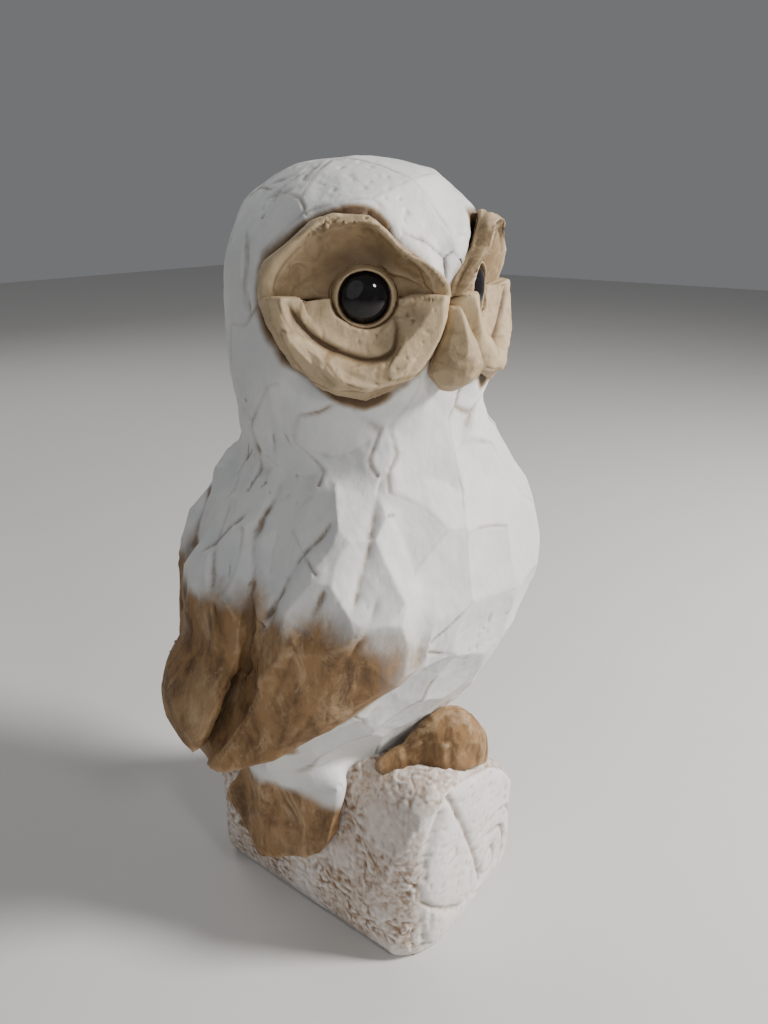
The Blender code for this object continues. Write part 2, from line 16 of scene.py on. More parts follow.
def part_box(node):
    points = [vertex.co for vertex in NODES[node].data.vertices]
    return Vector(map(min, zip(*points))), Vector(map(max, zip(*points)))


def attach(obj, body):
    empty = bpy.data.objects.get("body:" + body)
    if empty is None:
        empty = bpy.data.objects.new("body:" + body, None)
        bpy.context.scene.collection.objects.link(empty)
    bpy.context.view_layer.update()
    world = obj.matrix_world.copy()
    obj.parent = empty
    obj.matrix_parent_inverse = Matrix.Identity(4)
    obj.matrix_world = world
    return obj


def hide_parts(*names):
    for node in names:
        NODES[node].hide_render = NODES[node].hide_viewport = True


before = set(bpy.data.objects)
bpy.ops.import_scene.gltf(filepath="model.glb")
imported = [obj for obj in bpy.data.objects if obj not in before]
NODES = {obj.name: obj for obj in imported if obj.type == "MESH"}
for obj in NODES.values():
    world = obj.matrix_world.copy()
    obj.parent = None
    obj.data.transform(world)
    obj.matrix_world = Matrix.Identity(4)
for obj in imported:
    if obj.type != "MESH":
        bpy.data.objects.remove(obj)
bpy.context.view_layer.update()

SIDES = {"right": -1, "left": 1}
MM = 0.001

DETAIL = 1.0


# Places taken from the frame


def box_centre(node):
    low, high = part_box(node)
    return (low + high) / 2


def azimuth_of(point):
    return math.atan2(point.y, point.x)


FACE_YAW = azimuth_of(box_centre("beak"))
LOG_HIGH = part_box("log")[1]
TAIL_LOW, TAIL_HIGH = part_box("tail")
EYE = box_centre("eye_right")
HEAD_RADIUS = 0.066


# Numbers: noise, curves and sums over a mesh


def ease(start, end, at):
    """0 before start and 1 after end, with a smooth rise between them."""
    s = np.clip((at - start) / (end - start), 0, 1)
    return s * s * (3 - 2 * s)


def bell(distance, width):
    return np.exp(-((distance / width) ** 2))


def wrapped(angle):
    """The angle brought between -pi and pi."""
    return (angle + math.pi) % (2 * math.pi) - math.pi


def lattice(ix, iy, iz, seed):
    """A repeatable number from -1 to 1 for each lattice point."""
    mixed = ix * 374761393 + iy * 668265263 + iz * 2147483647 + seed * 1274126177
    mixed = (mixed ^ (mixed >> 13)) * 1274126177
    mixed = (mixed ^ (mixed >> 16)) & 0xFFFFFF
    return mixed / 0x7FFFFF - 1.0


def noise(points, size, seed=0):
    """Smooth noise from -1 to 1 whose lumps are about size across."""
    scaled = points / size
    cell = np.floor(scaled).astype(np.int64)
    f = scaled - cell
    f = f * f * f * (f * (f * 6 - 15) + 10)
    total = np.zeros(len(points))
    for dx in (0, 1):
        for dy in (0, 1):
            for dz in (0, 1):
                weight = np.abs(1 - dx - f[:, 0]) * np.abs(1 - dy - f[:, 1]) * np.abs(1 - dz - f[:, 2])
                total += weight * lattice(cell[:, 0] + dx, cell[:, 1] + dy, cell[:, 2] + dz, seed)
    return total


def layered(points, size, octaves=4, seed=0, fall=0.5):
    """Noise in layers, each half the size of the one before."""
    total = np.zeros(len(points))
    strength = 1.0
    for i in range(octaves):
        total += strength * noise(points, size / 2**i, seed + 17 * i)
        strength *= fall
    return total


def ridged(points, size, octaves=4, seed=0):
    """Noise whose layers have sharp crests, from 0 to about 1.5."""
    total = np.zeros(len(points))
    strength = 1.0
    for i in range(octaves):
        total += strength * (1 - 2 * np.abs(noise(points, size / 2**i, seed + 29 * i)))
        strength *= 0.5
    return total


def warped(points, size, amount, seed=0):
    """The points pushed about, so that what is drawn with them wanders."""
    shift = np.stack([noise(points, size, seed + k) for k in (101, 202, 303)], axis=1)
    return points + amount * shift


class Skin:
    """A mesh held as arrays: its points, their normals and its edges."""

    def __init__(self, mesh):
        self.mesh = mesh
        count = len(mesh.vertices)
        self.points = np.empty(count * 3)
        mesh.vertices.foreach_get("co", self.points)
        self.points = self.points.reshape(-1, 3)
        self.edges = np.empty(len(mesh.edges) * 2, np.int64)
        mesh.edges.foreach_get("vertices", self.edges)
        self.edges = self.edges.reshape(-1, 2)
        self.degree = np.maximum(np.bincount(self.edges.ravel(), minlength=count), 1)
        self.renew()

    def renew(self):
        """Writes the points to the mesh and reads its normals again."""
        self.mesh.vertices.foreach_set("co", self.points.ravel())
        self.mesh.update()
        normals = np.empty(len(self.points) * 3)
        self.mesh.vertex_normals.foreach_get("vector", normals)
        self.normals = normals.reshape(-1, 3)

    def averaged(self, values, rounds=1, share=1.0):
        """Each value moved towards the mean of its neighbours."""
        values = np.array(values, float)
        a, b = self.edges[:, 0], self.edges[:, 1]
        count = len(self.points)
        for _ in range(rounds):
            flat = values.reshape(count, -1)
            sums = np.empty_like(flat)
            for k in range(flat.shape[1]):
                sums[:, k] = np.bincount(a, flat[b, k], count) + np.bincount(b, flat[a, k], count)
            mean = (sums / self.degree[:, None]).reshape(values.shape)
            values = values + share * (mean - values)
        return values

    def smooth(self, rounds):
        self.points = self.averaged(self.points, rounds, 0.6)
        self.renew()

    def push(self, amount):
        self.points = self.points + self.normals * np.asarray(amount)[:, None]
        self.renew()

    def hollowness(self, rounds):
        """How far each point lies below its surroundings, in metres."""
        around = self.averaged(self.points, rounds)
        return ((around - self.points) * self.normals).sum(1)

    def write(self, name, values):
        stored = self.mesh.attributes.new(name, "FLOAT", "POINT")
        stored.data.foreach_set("value", np.asarray(values, np.float32))


def near_line(points, line):
    """Distance to a broken line, and the place along it from 0 to 1."""
    line = np.asarray(line)
    nearest = np.full(len(points), 1e9)
    along = np.zeros(len(points))
    steps = len(line) - 1
    for i in range(steps):
        start, end = line[i], line[i + 1]
        run = end - start
        t = np.clip((points - start) @ run / max(run @ run, 1e-12), 0, 1)
        gap = np.linalg.norm(points - (start + t[:, None] * run), axis=1)
        closer = gap < nearest
        nearest[closer] = gap[closer]
        along[closer] = (i + t[closer]) / steps
    return nearest, along


def bowed(line, parts=5):
    """A smooth line through a few points."""
    line = np.asarray(line, float)
    slopes = np.gradient(line, axis=0)
    at = np.linspace(0, len(line) - 1, parts * (len(line) - 1) + 1)
    i = np.minimum(at.astype(int), len(line) - 2)
    s = (at - i)[:, None]
    rise = line[i] + (line[i + 1] - line[i]) * (3 - 2 * s) * s**2
    return rise + slopes[i] * (s - 2 * s**2 + s**3) + slopes[i + 1] * (s**3 - s**2)


# Meshes


def cad_bmesh(node):
    bm = bmesh.new()
    bm.from_mesh(NODES[node].data)
    bmesh.ops.remove_doubles(bm, verts=bm.verts, dist=1e-6)
    return bm


def solid_bmesh(node, inside):
    """A hollow node filled in: the faces that look at the inside point are dropped."""
    bm = cad_bmesh(node)
    inner = [f for f in bm.faces if f.normal.dot(f.calc_center_median() - inside) < 0]
    bmesh.ops.delete(bm, geom=inner, context="FACES")
    bmesh.ops.holes_fill(bm, edges=[e for e in bm.edges if e.is_boundary], sides=0)
    return bm


def object_from(bm, name):
    mesh = bpy.data.meshes.new(name)
    bm.to_mesh(mesh)
    bm.free()
    made = bpy.data.objects.new(name, mesh)
    bpy.context.scene.collection.objects.link(made)
    return made


def join(whole, bm, name):
    """Adds one mesh to another."""
    mesh = bpy.data.meshes.new(name)
    bm.to_mesh(mesh)
    bm.free()
    whole.from_mesh(mesh)


def remeshed(made, size):
    """The object's mesh as one even net of small squares."""
    modifier = made.modifiers.new("even", "REMESH")
    modifier.mode = "VOXEL"
    modifier.voxel_size = size * DETAIL
    graph = bpy.context.evaluated_depsgraph_get()
    mesh = bpy.data.meshes.new_from_object(made.evaluated_get(graph))
    made.modifiers.clear()
    made.data = mesh
    mesh.shade_smooth()
    return made


def tree_of(bm):
    return BVHTree.FromBMesh(bm)


def distances(tree, points, most=0.05):
    """Distance from each point to a surface."""
    found = np.full(len(points), most)
    for i, point in enumerate(points):
        hit = tree.find_nearest(Vector(point), most)
        if hit[3] is not None:
            found[i] = hit[3]
    return found


def finish_piece(made, node, material):
    made.data.materials.clear()
    made.data.materials.append(material)
    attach(made, "root")
    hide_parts(node)


# Materials


class Nodes:
    """Short ways to place and join shader nodes."""

    def __init__(self, name):
        self.material = bpy.data.materials.new(name)
        self.material.use_nodes = True
        self.tree = self.material.node_tree
        self.shader = self.tree.nodes["Principled BSDF"]

    def put(self, kind, **settings):
        node = self.tree.nodes.new(kind)
        for key, value in settings.items():
            setattr(node, key, value)
        return node

    def feed(self, socket, value):
        if isinstance(value, bpy.types.NodeSocket):
            self.tree.links.new(value, socket)
        elif isinstance(value, tuple) and len(value) == 3 and socket.type == "RGBA":
            socket.default_value = (*value, 1.0)
        else:
            socket.default_value = value

    def attribute(self, name):
        return self.put("ShaderNodeAttribute", attribute_name=name).outputs["Fac"]

    def place(self):
        return self.put("ShaderNodeTexCoord").outputs["Object"]

    def noise(self, scale, detail=4.0, rough=0.55, stretch=None, warp=0.0):
        node = self.put("ShaderNodeTexNoise")
        where = self.place()
        if stretch:
            mapping = self.put("ShaderNodeMapping")
            self.feed(mapping.inputs["Vector"], where)
            mapping.inputs["Scale"].default_value = stretch
            where = mapping.outputs["Vector"]
        self.feed(node.inputs["Vector"], where)
        node.inputs["Scale"].default_value = scale
        node.inputs["Detail"].default_value = detail
        node.inputs["Roughness"].default_value = rough
        node.inputs["Distortion"].default_value = warp
        return node.outputs["Fac"]

    def cells(self, scale):
        node = self.put("ShaderNodeTexVoronoi")
        self.feed(node.inputs["Vector"], self.place())
        node.inputs["Scale"].default_value = scale
        return node.outputs["Distance"]

    def band(self, value, low, high, to_low=0.0, to_high=1.0):
        """The value's range from low to high, mapped smoothly to another range."""
        node = self.put("ShaderNodeMapRange", interpolation_type="SMOOTHSTEP")
        for key, given in (("Value", value), ("From Min", low), ("From Max", high)):
            self.feed(node.inputs[key], given)
        self.feed(node.inputs["To Min"], to_low)
        self.feed(node.inputs["To Max"], to_high)
        return node.outputs["Result"]

    def sum(self, kind, a, b):
        node = self.put("ShaderNodeMath", operation=kind)
        self.feed(node.inputs[0], a)
        self.feed(node.inputs[1], b)
        return node.outputs["Value"]

    def mix(self, share, a, b):
        node = self.put("ShaderNodeMix", data_type="RGBA")
        self.feed(node.inputs["Factor"], share)
        self.feed(node.inputs["A"], a)
        self.feed(node.inputs["B"], b)
        return node.outputs["Result"]

    def bump(self, height, strength, distance):
        node = self.put("ShaderNodeBump")
        self.feed(node.inputs["Height"], height)
        node.inputs["Strength"].default_value = strength
        node.inputs["Distance"].default_value = distance
        return node.outputs["Normal"]

    def done(self, colour, roughness, normal=None, specular=0.35):
        self.feed(self.shader.inputs["Base Color"], colour)
        self.feed(self.shader.inputs["Roughness"], roughness)
        self.shader.inputs["Specular IOR Level"].default_value = specular
        if normal is not None:
            self.feed(self.shader.inputs["Normal"], normal)
        return self.material


WHITE = (0.74, 0.735, 0.715)
WHITE_COOL = (0.64, 0.65, 0.65)
WHITE_WARM = (0.66, 0.615, 0.54)
# Brown washes: the real wash in the cuts, and also painted shade where parts meet and round the mask
WASH_AND_SHADE = (0.20, 0.125, 0.06)
DEEP_WASH_AND_SHADE = (0.105, 0.062, 0.031)
BROWN = (0.29, 0.165, 0.070)
BROWN_DARK = (0.105, 0.054, 0.021)
BROWN_LIGHT = (0.47, 0.325, 0.185)
TAUPE = (0.335, 0.238, 0.130)
TAUPE_DARK = (0.150, 0.094, 0.044)
TAUPE_LIGHT = (0.51, 0.395, 0.248)
BARK = (0.60, 0.515, 0.455)
BARK_PALE = (0.70, 0.64, 0.60)
BARK_WASH = (0.36, 0.25, 0.16)
BARK_DEEP = (0.22, 0.135, 0.07)
BARK_CREST = (0.80, 0.765, 0.735)
SAWN = (0.735, 0.69, 0.665)
SAWN_PALE = (0.80, 0.775, 0.76)
SAWN_WASH = (0.45, 0.36, 0.29)
SAWN_CRACK = (0.38, 0.29, 0.22)
BLACK = (0.006, 0.005, 0.006)
# Lighter black for a painted sheen on the eyes
BLACK_SHEEN = (0.014, 0.012, 0.012)
STEEL = (0.36, 0.36, 0.37)
STEEL_PALE = (0.52, 0.52, 0.53)
BOARD = (0.30, 0.21, 0.13)
BOARD_PALE = (0.44, 0.33, 0.21)
FELT = (0.02, 0.035, 0.025)
FELT_PALE = (0.05, 0.075, 0.055)
FLOOR = (0.66, 0.65, 0.63)
FLOOR_PALE = (0.70, 0.69, 0.67)


def paint_grain(n):
    """Brush marks, tiny pits and casting grain, as heights."""
    strokes = n.noise(260.0, 3.0, 0.6, (1.0, 1.0, 0.35))
    grain = n.noise(1500.0, 2.0, 0.7)
    pits = n.band(n.cells(420.0), 0.02, 0.16)
    few = n.band(n.noise(60.0, 2.0, 0.5), 0.55, 0.68)
    pits = n.sum("SUBTRACT", 1.0, n.sum("MULTIPLY", n.sum("SUBTRACT", 1.0, pits), few))
    return strokes, grain, pits


def carved_paint():
    """White paint with a wash in its cuts and painted shade round the mask, going over to brown at the wings
    and the tail.
    """
    n = Nodes("carved_paint")
    strokes, grain, pits = paint_grain(n)
    cavity = n.attribute("cavity")
    edge = n.attribute("edge")
    crack = n.attribute("crack")
    brown = n.attribute("brown")
    cloud = n.noise(22.0, 5.0, 0.6, None, 0.6)
    fine = n.noise(140.0, 5.0, 0.65)
    white = n.mix(n.band(cloud, 0.35, 0.68), WHITE_COOL, WHITE)
    white = n.mix(n.band(fine, 0.52, 0.8, 0.0, 0.25), white, WHITE_WARM)
    # Brown wash in the cuts, with painted shade where the head meets the mask
    recess_wash_and_shade = n.sum("MULTIPLY", cavity, n.band(fine, 0.3, 0.7, 0.35, 1.0))
    white = n.mix(n.sum("MULTIPLY", recess_wash_and_shade, 0.72), white, WASH_AND_SHADE)
    white = n.mix(n.sum("MULTIPLY", crack, n.band(fine, 0.25, 0.6, 0.2, 0.7)), white, WASH_AND_SHADE)
    white = n.mix(n.sum("MULTIPLY", n.sum("SUBTRACT", 1.0, pits), 0.4), white, WASH_AND_SHADE)
    # Painted shade round the mask's edge, together with its brown wash; deepest right at the edge
    stain_and_shade = n.attribute("stain_and_shade")
    white = n.mix(n.band(n.sum("ADD", stain_and_shade, n.sum("MULTIPLY", fine, 0.35)), 0.3, 1.1), white, WASH_AND_SHADE)
    white = n.mix(n.band(stain_and_shade, 0.75, 0.95), white, DEEP_WASH_AND_SHADE)
    smear = n.noise(80.0, 6.0, 0.72, (1.0, 1.0, 0.5), 0.4)
    tone = n.mix(n.band(smear, 0.32, 0.62), BROWN_DARK, BROWN)
    tone = n.mix(n.band(cloud, 0.5, 0.75, 0.0, 0.55), tone, BROWN_LIGHT)
    tone = n.mix(n.sum("MULTIPLY", edge, n.band(fine, 0.35, 0.65, 0.0, 0.6)), tone, BROWN_LIGHT)
    rubbed = n.noise(45.0, 7.0, 0.8, (1.0, 1.0, 0.6), 0.5)
    tone = n.mix(n.band(rubbed, 0.5, 0.66, 0.0, 0.75), tone, BROWN_LIGHT)
    # Darker in hollows from the wash, and as painted shade where the feet meet the log
    tone = n.mix(n.sum("MULTIPLY", cavity, 0.6), tone, BROWN_DARK)
    tone = n.mix(n.sum("MULTIPLY", n.sum("SUBTRACT", 1.0, pits), 0.7), tone, BROWN_DARK)
    ragged = n.sum("ADD", brown, n.sum("MULTIPLY", n.sum("SUBTRACT", smear, 0.5), 0.55))
    colour = n.mix(n.band(ragged, 0.2, 0.8), white, tone)
    height = n.sum("ADD", n.sum("MULTIPLY", strokes, 1.0), n.sum("MULTIPLY", grain, 0.3))
    height = n.sum("ADD", height, n.sum("MULTIPLY", pits, 0.8))
    normal = n.bump(height, 0.6, 0.45 * MM)
    return n.done(colour, n.band(fine, 0.3, 0.7, 0.5, 0.68), normal)


def taupe_paint():
    """Taupe paint, darker where it lies deep, with painted shade next to what it sits on, and lighter on
    what stands out.
    """
    n = Nodes("taupe_paint")
    strokes, grain, pits = paint_grain(n)
    cavity = n.attribute("cavity")
    edge = n.attribute("edge")
    crack = n.attribute("crack")
    light = n.attribute("light")
    streak = n.noise(120.0, 5.0, 0.62, None, 0.8)
    cloud = n.noise(35.0, 4.0, 0.6)
    colour = n.mix(n.band(streak, 0.32, 0.66), TAUPE_DARK, TAUPE)
    colour = n.mix(n.band(cloud, 0.45, 0.7, 0.1, 0.6), colour, TAUPE)
    colour = n.mix(n.sum("MULTIPLY", light, n.band(streak, 0.25, 0.6, 0.45, 0.9)), colour, TAUPE_LIGHT)
    colour = n.mix(n.sum("MULTIPLY", edge, 0.6), colour, TAUPE_LIGHT)
    # Darker in hollows from the wash, and as painted shade next to the part each piece sits on
    colour = n.mix(n.sum("MULTIPLY", cavity, 0.85), colour, WASH_AND_SHADE)
    colour = n.mix(n.sum("MULTIPLY", crack, 0.9), colour, WASH_AND_SHADE)
    colour = n.mix(n.sum("MULTIPLY", n.sum("SUBTRACT", 1.0, pits), 0.4), colour, WASH_AND_SHADE)
    # Deepest brown: painted shade in the brow's scoop and beside the eyes, and the dark line in the cheek's
    # groove
    colour = n.mix(n.attribute("stain_and_shade"), colour, DEEP_WASH_AND_SHADE)
    height = n.sum("ADD", n.sum("MULTIPLY", strokes, 0.9), n.sum("MULTIPLY", grain, 0.35))
    height = n.sum("ADD", height, n.sum("MULTIPLY", n.noise(620.0, 4.0, 0.7), 0.5))
    height = n.sum("ADD", height, n.sum("MULTIPLY", pits, 0.6))
    return n.done(colour, n.band(streak, 0.3, 0.7, 0.5, 0.66), n.bump(height, 0.6, 0.45 * MM))


def bark_paint():
    """Off-white bark with a brown wash in its hollows, and smooth white sawn ends."""
    n = Nodes("bark_paint")
    _, grain, pits = paint_grain(n)
    cavity = n.attribute("cavity")
    edge = n.attribute("edge")
    crack = n.attribute("crack")
    sawn = n.attribute("sawn")
    fine = n.noise(230.0, 5.0, 0.7)
    cloud = n.noise(40.0, 4.0, 0.6)
    bark = n.mix(n.band(cloud, 0.35, 0.65), BARK, BARK_PALE)
    washed = n.attribute("stain_and_shade")
    bark = n.mix(n.sum("MULTIPLY", n.band(fine, 0.38, 0.6, 0.75, 0.0), washed), bark, BARK_WASH)
    bark = n.mix(n.sum("MULTIPLY", cavity, n.band(washed, 0.0, 1.0, 0.35, 0.95)), bark, BARK_DEEP)
    bark = n.mix(n.sum("MULTIPLY", edge, 0.75), bark, BARK_CREST)
    smooth = n.mix(n.band(cloud, 0.3, 0.7), SAWN, SAWN_PALE)
    smooth = n.mix(n.sum("MULTIPLY", cavity, 0.5), smooth, SAWN_WASH)
    smooth = n.mix(n.sum("MULTIPLY", crack, 0.7), smooth, SAWN_CRACK)
    colour = n.mix(sawn, bark, smooth)
    height = n.sum("ADD", n.sum("MULTIPLY", fine, 0.8), n.sum("MULTIPLY", grain, 0.4))
    height = n.sum("ADD", height, n.sum("MULTIPLY", pits, 0.3))
    return n.done(colour, 0.72, n.bump(height, 0.6, 0.4 * MM), 0.25)


def black_gloss():
    n = Nodes("black_gloss")
    cloud = n.noise(300.0, 3.0)
    # Painted sheen: lighter patches of black mottled over the eyes
    colour = n.mix(n.band(cloud, 0.4, 0.7), BLACK, BLACK_SHEEN)
    return n.done(colour, n.band(n.noise(90.0, 2.0), 0.3, 0.7, 0.03, 0.06), None, 0.42)


def plain_grained(name, dark, light, scale, roughness, metallic=0.0):
    n = Nodes(name)
    grain = n.noise(scale, 5.0, 0.7)
    n.shader.inputs["Metallic"].default_value = metallic
    return n.done(n.mix(grain, dark, light), roughness, n.bump(grain, 0.5, 0.3 * MM))


# Sizes and lines of the carving, in metres

TRUNK_YAW = math.radians(-15)
BODY_NODES = ("hood", "trunk", "wing_right", "wing_left", "mantle", "tail")
LOG_TREE = tree_of(cad_bmesh("log"))

# Sizes of the nets that the pieces are made into
BODY_NET = 1.1 * MM
MASK_NET = 0.75 * MM
BEAK_NET = 0.6 * MM
LID_NET = 0.55 * MM
EYE_NET = 0.5 * MM
FOOT_NET = 0.85 * MM
LOG_NET = 1.15 * MM

# Where the body's solids are made to reach into each other
HEAD_INSIDE = Vector((0, 0, 0.36))
LOG_INSIDE = Vector((0, 0, 0.05))
NECK_HEIGHT = 0.3
TAIL_ROOT = 0.105
PLUG_TOP = 0.15
PLUG_SHARE = 0.96
BRIDGE_TOP = 0.215
BRIDGE_TURN = math.radians(155)
BRIDGE_DEPTH = 4.0 * MM

# Chisel cuts: how far apart they lie, and how the search for them is done
BREAST_CUT = 0.031
FEATHER_CUT = 0.019
CRACK_WIDTH = 0.8 * MM
CUTS_COMPARED = 9
AT_ONCE = 20000
TAIL_STRIPS = (0.0, 0.30, 0.62, 1.0)

# Heights between which the brown begins
WING_BROWN = (0.203, 0.250)
TAIL_BROWN = (0.092, 0.119)

# Lines as (degrees from the breast towards the owl's left, height), for the right side
WING_BACK_EDGE = ((-137, 0.278), (-148, 0.261), (-154, 0.236), (-159, 0.219), (-165, 0.190))
MANTLE_EDGE = ((-163, 0.292), (-166, 0.268), (-162, 0.248), (-160, 0.220), (-163, 0.195))
MANTLE_GROOVE = ((-187, 0.276), (-179, 0.258), (-172, 0.239), (-170, 0.222))
SHOULDER_CUT = ((-116, 0.300), (-121, 0.287), (-125, 0.265), (-129, 0.243))
FEATHER_LONG = ((-134, 0.262), (-141, 0.235), (-148, 0.205), (-157, 0.170))
FEATHER_FRONT = ((-122, 0.250), (-129, 0.222), (-138, 0.192), (-148, 0.165))

# Each groove's line, and its width and depth in millimetres
FEATHER_GROOVES = (
    (WING_BACK_EDGE, 3.4, 4.0), (MANTLE_EDGE, 3.0, 3.2), (MANTLE_GROOVE, 2.4, 2.4),
    (SHOULDER_CUT, 4.0, 2.0), (FEATHER_LONG, 2.2, 2.0), (FEATHER_FRONT, 2.0, 1.6),
)

# The face; the arc is in millimetres outward and up from the eye
DISC_WIDTH = 0.042
DISC_RISE = 0.0347
EYE_SET_BACK = 1.4 * MM
CHEEK_ARC = ((29, -2), (25, -10), (17, -18), (7, -23), (-3, -25), (-11, -22), (-14, -13), (-14, -6))

FOOT_TURN = math.radians(20)
FOOT_LENGTH = 0.066

# The log; lines on its sawn end are (across, height)
RING_CENTRE = (0.019, 0.026)
RING_SPACING = 0.0130
RING_START = 0.885
END_SPLIT = ((-0.029, 0.112), (-0.019, 0.090), (-0.009, 0.070), (-0.001, 0.052), (0.004, 0.041),
             (0.010, 0.018))
END_CURVE = ((-0.056, 0.062), (-0.050, 0.048), (-0.041, 0.038), (-0.026, 0.026), (-0.012, 0.017),
             (0.006, 0.016))
END_SIDE = ((-0.038, 0.104), (-0.047, 0.080), (-0.051, 0.052), (-0.048, 0.028), (-0.046, 0.006))
CORNER = 0.024
NEAR_CORNER = 0.034
GROUND_ROUND = 0.014
GROUND_INSET = 0.006

# Light and camera
AIM = (0.0, 0.0, 0.24)
GLINT_TURN = math.radians(13)
GLINT_RISE = math.radians(16)
GLINT_DISTANCE = 0.8
CAMERA_PLACE = (-0.321, -0.257, 0.4185)
CAMERA_HEADING = math.radians(36.87)
CAMERA_PITCH = math.radians(-22)


# Carving


def polar(azimuth, radius, height):
    return Vector((math.cos(azimuth) * radius, math.sin(azimuth) * radius, height))


def on_skin(tree, azimuth, height):
    """The outermost point of a surface at an angle round the owl and a height."""
    start = polar(azimuth, 0.3, height)
    hit = tree.ray_cast(start, polar(azimuth, -1.0, 0.0))
    return np.array(hit[0] if hit[0] is not None else polar(azimuth, 0.07, height))


def skin_line(tree, places):
    """A smooth line on the owl through places given as degrees from the breast, and height."""
    corners = bowed([(math.radians(a), z) for a, z in places])
    return np.array([on_skin(tree, TRUNK_YAW + a, z) for a, z in corners])


def scattered(points, spacing, seed, tries=9000):
    """Indices of points picked at random, none closer to another than its spacing."""
    order = np.random.default_rng(seed).permutation(len(points))[:tries]
    kept = [order[0]]
    for i in order[1:]:
        gaps = np.linalg.norm(points[kept] - points[i], axis=1)
        if gaps.min() > spacing[i]:
            kept.append(i)
    return np.array(kept)


def facets(skin, spacing, tilt, sink, seed, cracked=0.35, stretch=(1, 1, 1), scoop=0.13,
           deepest=1.5 * MM):
    """Chisel cuts over a skin, each nearly flat and hollowed to the radius scoop: how far each
    point moves to lie on its cut, the distance to the nearest ridge between two cuts, and how
    cracked that ridge is."""
    points, normals = skin.points, skin.normals
    spread = points * np.asarray(stretch)
    rng = np.random.default_rng(seed)
    chosen = scattered(spread, np.broadcast_to(spacing, len(points)), seed)
    seats = points[chosen]
    facing = skin.averaged(normals, 14)[chosen] + rng.normal(0, tilt, (len(chosen), 3))
    facing /= np.linalg.norm(facing, axis=1)[:, None]
    sunk = rng.uniform(-sink, sink, len(chosen))
    near = min(CUTS_COMPARED, len(chosen))
    lift = np.empty(len(points))
    ridge = np.empty(len(points))
    crack = np.empty(len(points))
    for start in range(0, len(points), AT_ONCE):
        part = slice(start, start + AT_ONCE)
        gaps = ((spread[part, None] - spread[chosen][None]) ** 2).sum(2)
        closest = np.argpartition(gaps, near - 1, axis=1)[:, :near]
        face = facing[closest]
        reach = ((seats[closest] - points[part, None]) * face).sum(2) + sunk[closest]
        shift = reach / np.maximum((normals[part, None] * face).sum(2), 0.35)
        away = ((points[part, None] - seats[closest]) ** 2).sum(2)
        shift = np.maximum(shift, -deepest) + away / (2 * scoop)
        order = np.argsort(shift, axis=1)
        first, second = order[:, 0], order[:, 1]
        row = np.arange(len(order))
        lift[part] = shift[row, first]
        bend = np.linalg.norm(face[row, first] - face[row, second], axis=1)
        apart = np.linalg.norm(seats[closest[row, first]] - seats[closest[row, second]], axis=1)
        ridge[part] = (shift[row, second] - shift[row, first]) / (bend + apart / scoop)
        # A number from 0 to 1 that belongs to the two cuts, whichever comes first
        a = np.minimum(closest[row, first], closest[row, second])
        b = np.maximum(closest[row, first], closest[row, second])
        crack[part] = ((a * 73 + b * 151 + a * b) % 97) / 97 < cracked
    return lift, ridge, crack


def worn(skin, pits=0.25 * MM, seed=5):
    """Small uneven wear: soft undulation, gouges and pits."""
    p = skin.points
    soft = 0.35 * MM * layered(p, 0.012, 3, seed)
    spots = np.maximum(noise(p, 0.0032, seed + 9) - 0.45, 0)
    spots *= np.maximum(noise(p, 0.03, seed + 4) + 0.1, 0)
    return soft - spots * pits * 6


# The owl's solids made into one skin


def radial(point):
    return Vector((point.x, point.y, 0)).normalized()


def body_turn(points):
    """Angle round the owl from the breast, from -pi to pi."""
    return wrapped(np.arctan2(points[:, 1], points[:, 0]) - TRUNK_YAW)


def add_hull(bm, places):
    """Adds the tight wrapping of some points as a solid."""
    placed = [bm.verts.new(place) for place in places]
    hull = bmesh.ops.convex_hull(bm, input=placed)
    spare = [v for v in hull["geom_interior"] + hull["geom_unused"] if isinstance(v, bmesh.types.BMVert)]
    bmesh.ops.delete(bm, geom=list(set(spare)), context="VERTS")


def plug_low_end(bm):
    """Closes a hollow trunk near the log, so that it fills up when it is made into one skin."""
    low = [v.co.copy() for v in bm.verts if v.co.z < PLUG_TOP]
    middle = sum(low, Vector()) / len(low)
    add_hull(bm, [(middle.x + (p.x - middle.x) * PLUG_SHARE, middle.y + (p.y - middle.y) * PLUG_SHARE, p.z)
                  for p in low])


def bridge_tips(bm):
    """Fills the hollow between the two wings' tips, under the mantle."""
    places = []
    for node in ("wing_right", "wing_left"):
        for v in NODES[node].data.vertices:
            turn = abs(body_turn(np.array([v.co]))[0])
            if v.co.z < BRIDGE_TOP and turn > BRIDGE_TURN:
                places.append(v.co - radial(v.co) * BRIDGE_DEPTH)
    add_hull(bm, places)


def reaching(node):
    """One of the body's solids, pushed a little into its neighbours."""
    if node == "hood":
        return solid_bmesh(node, HEAD_INSIDE)
    bm = cad_bmesh(node)
    bm.normal_update()
    for v in bm.verts:
        if node == "trunk":
            if v.co.z > NECK_HEIGHT:
                v.co.z += 2 * MM
            if LOG_TREE.find_nearest(v.co, 4 * MM)[3] is not None:
                v.co.z -= 4 * MM
        elif node == "tail":
            if v.co.z > TAIL_ROOT:
                v.co.z += 8 * MM
        elif v.normal.dot(radial(v.co)) < -0.3:
            v.co -= radial(v.co) * 5 * MM
    if node == "trunk":
        plug_low_end(bm)
    return bm


def fused_body():
    whole = bmesh.new()
    for node in BODY_NODES:
        join(whole, reaching(node), node)
    bridge_tips(whole)
    return remeshed(object_from(whole, "body"), BODY_NET)


def combined_tree(nodes):
    """One tree of several nodes, and the node's number for each of its faces."""
    whole = bmesh.new()
    owner = []
    for number, node in enumerate(nodes):
        bm = cad_bmesh(node)
        owner += [number] * len(bm.faces)
        join(whole, bm, node)
    return BVHTree.FromBMesh(whole), owner


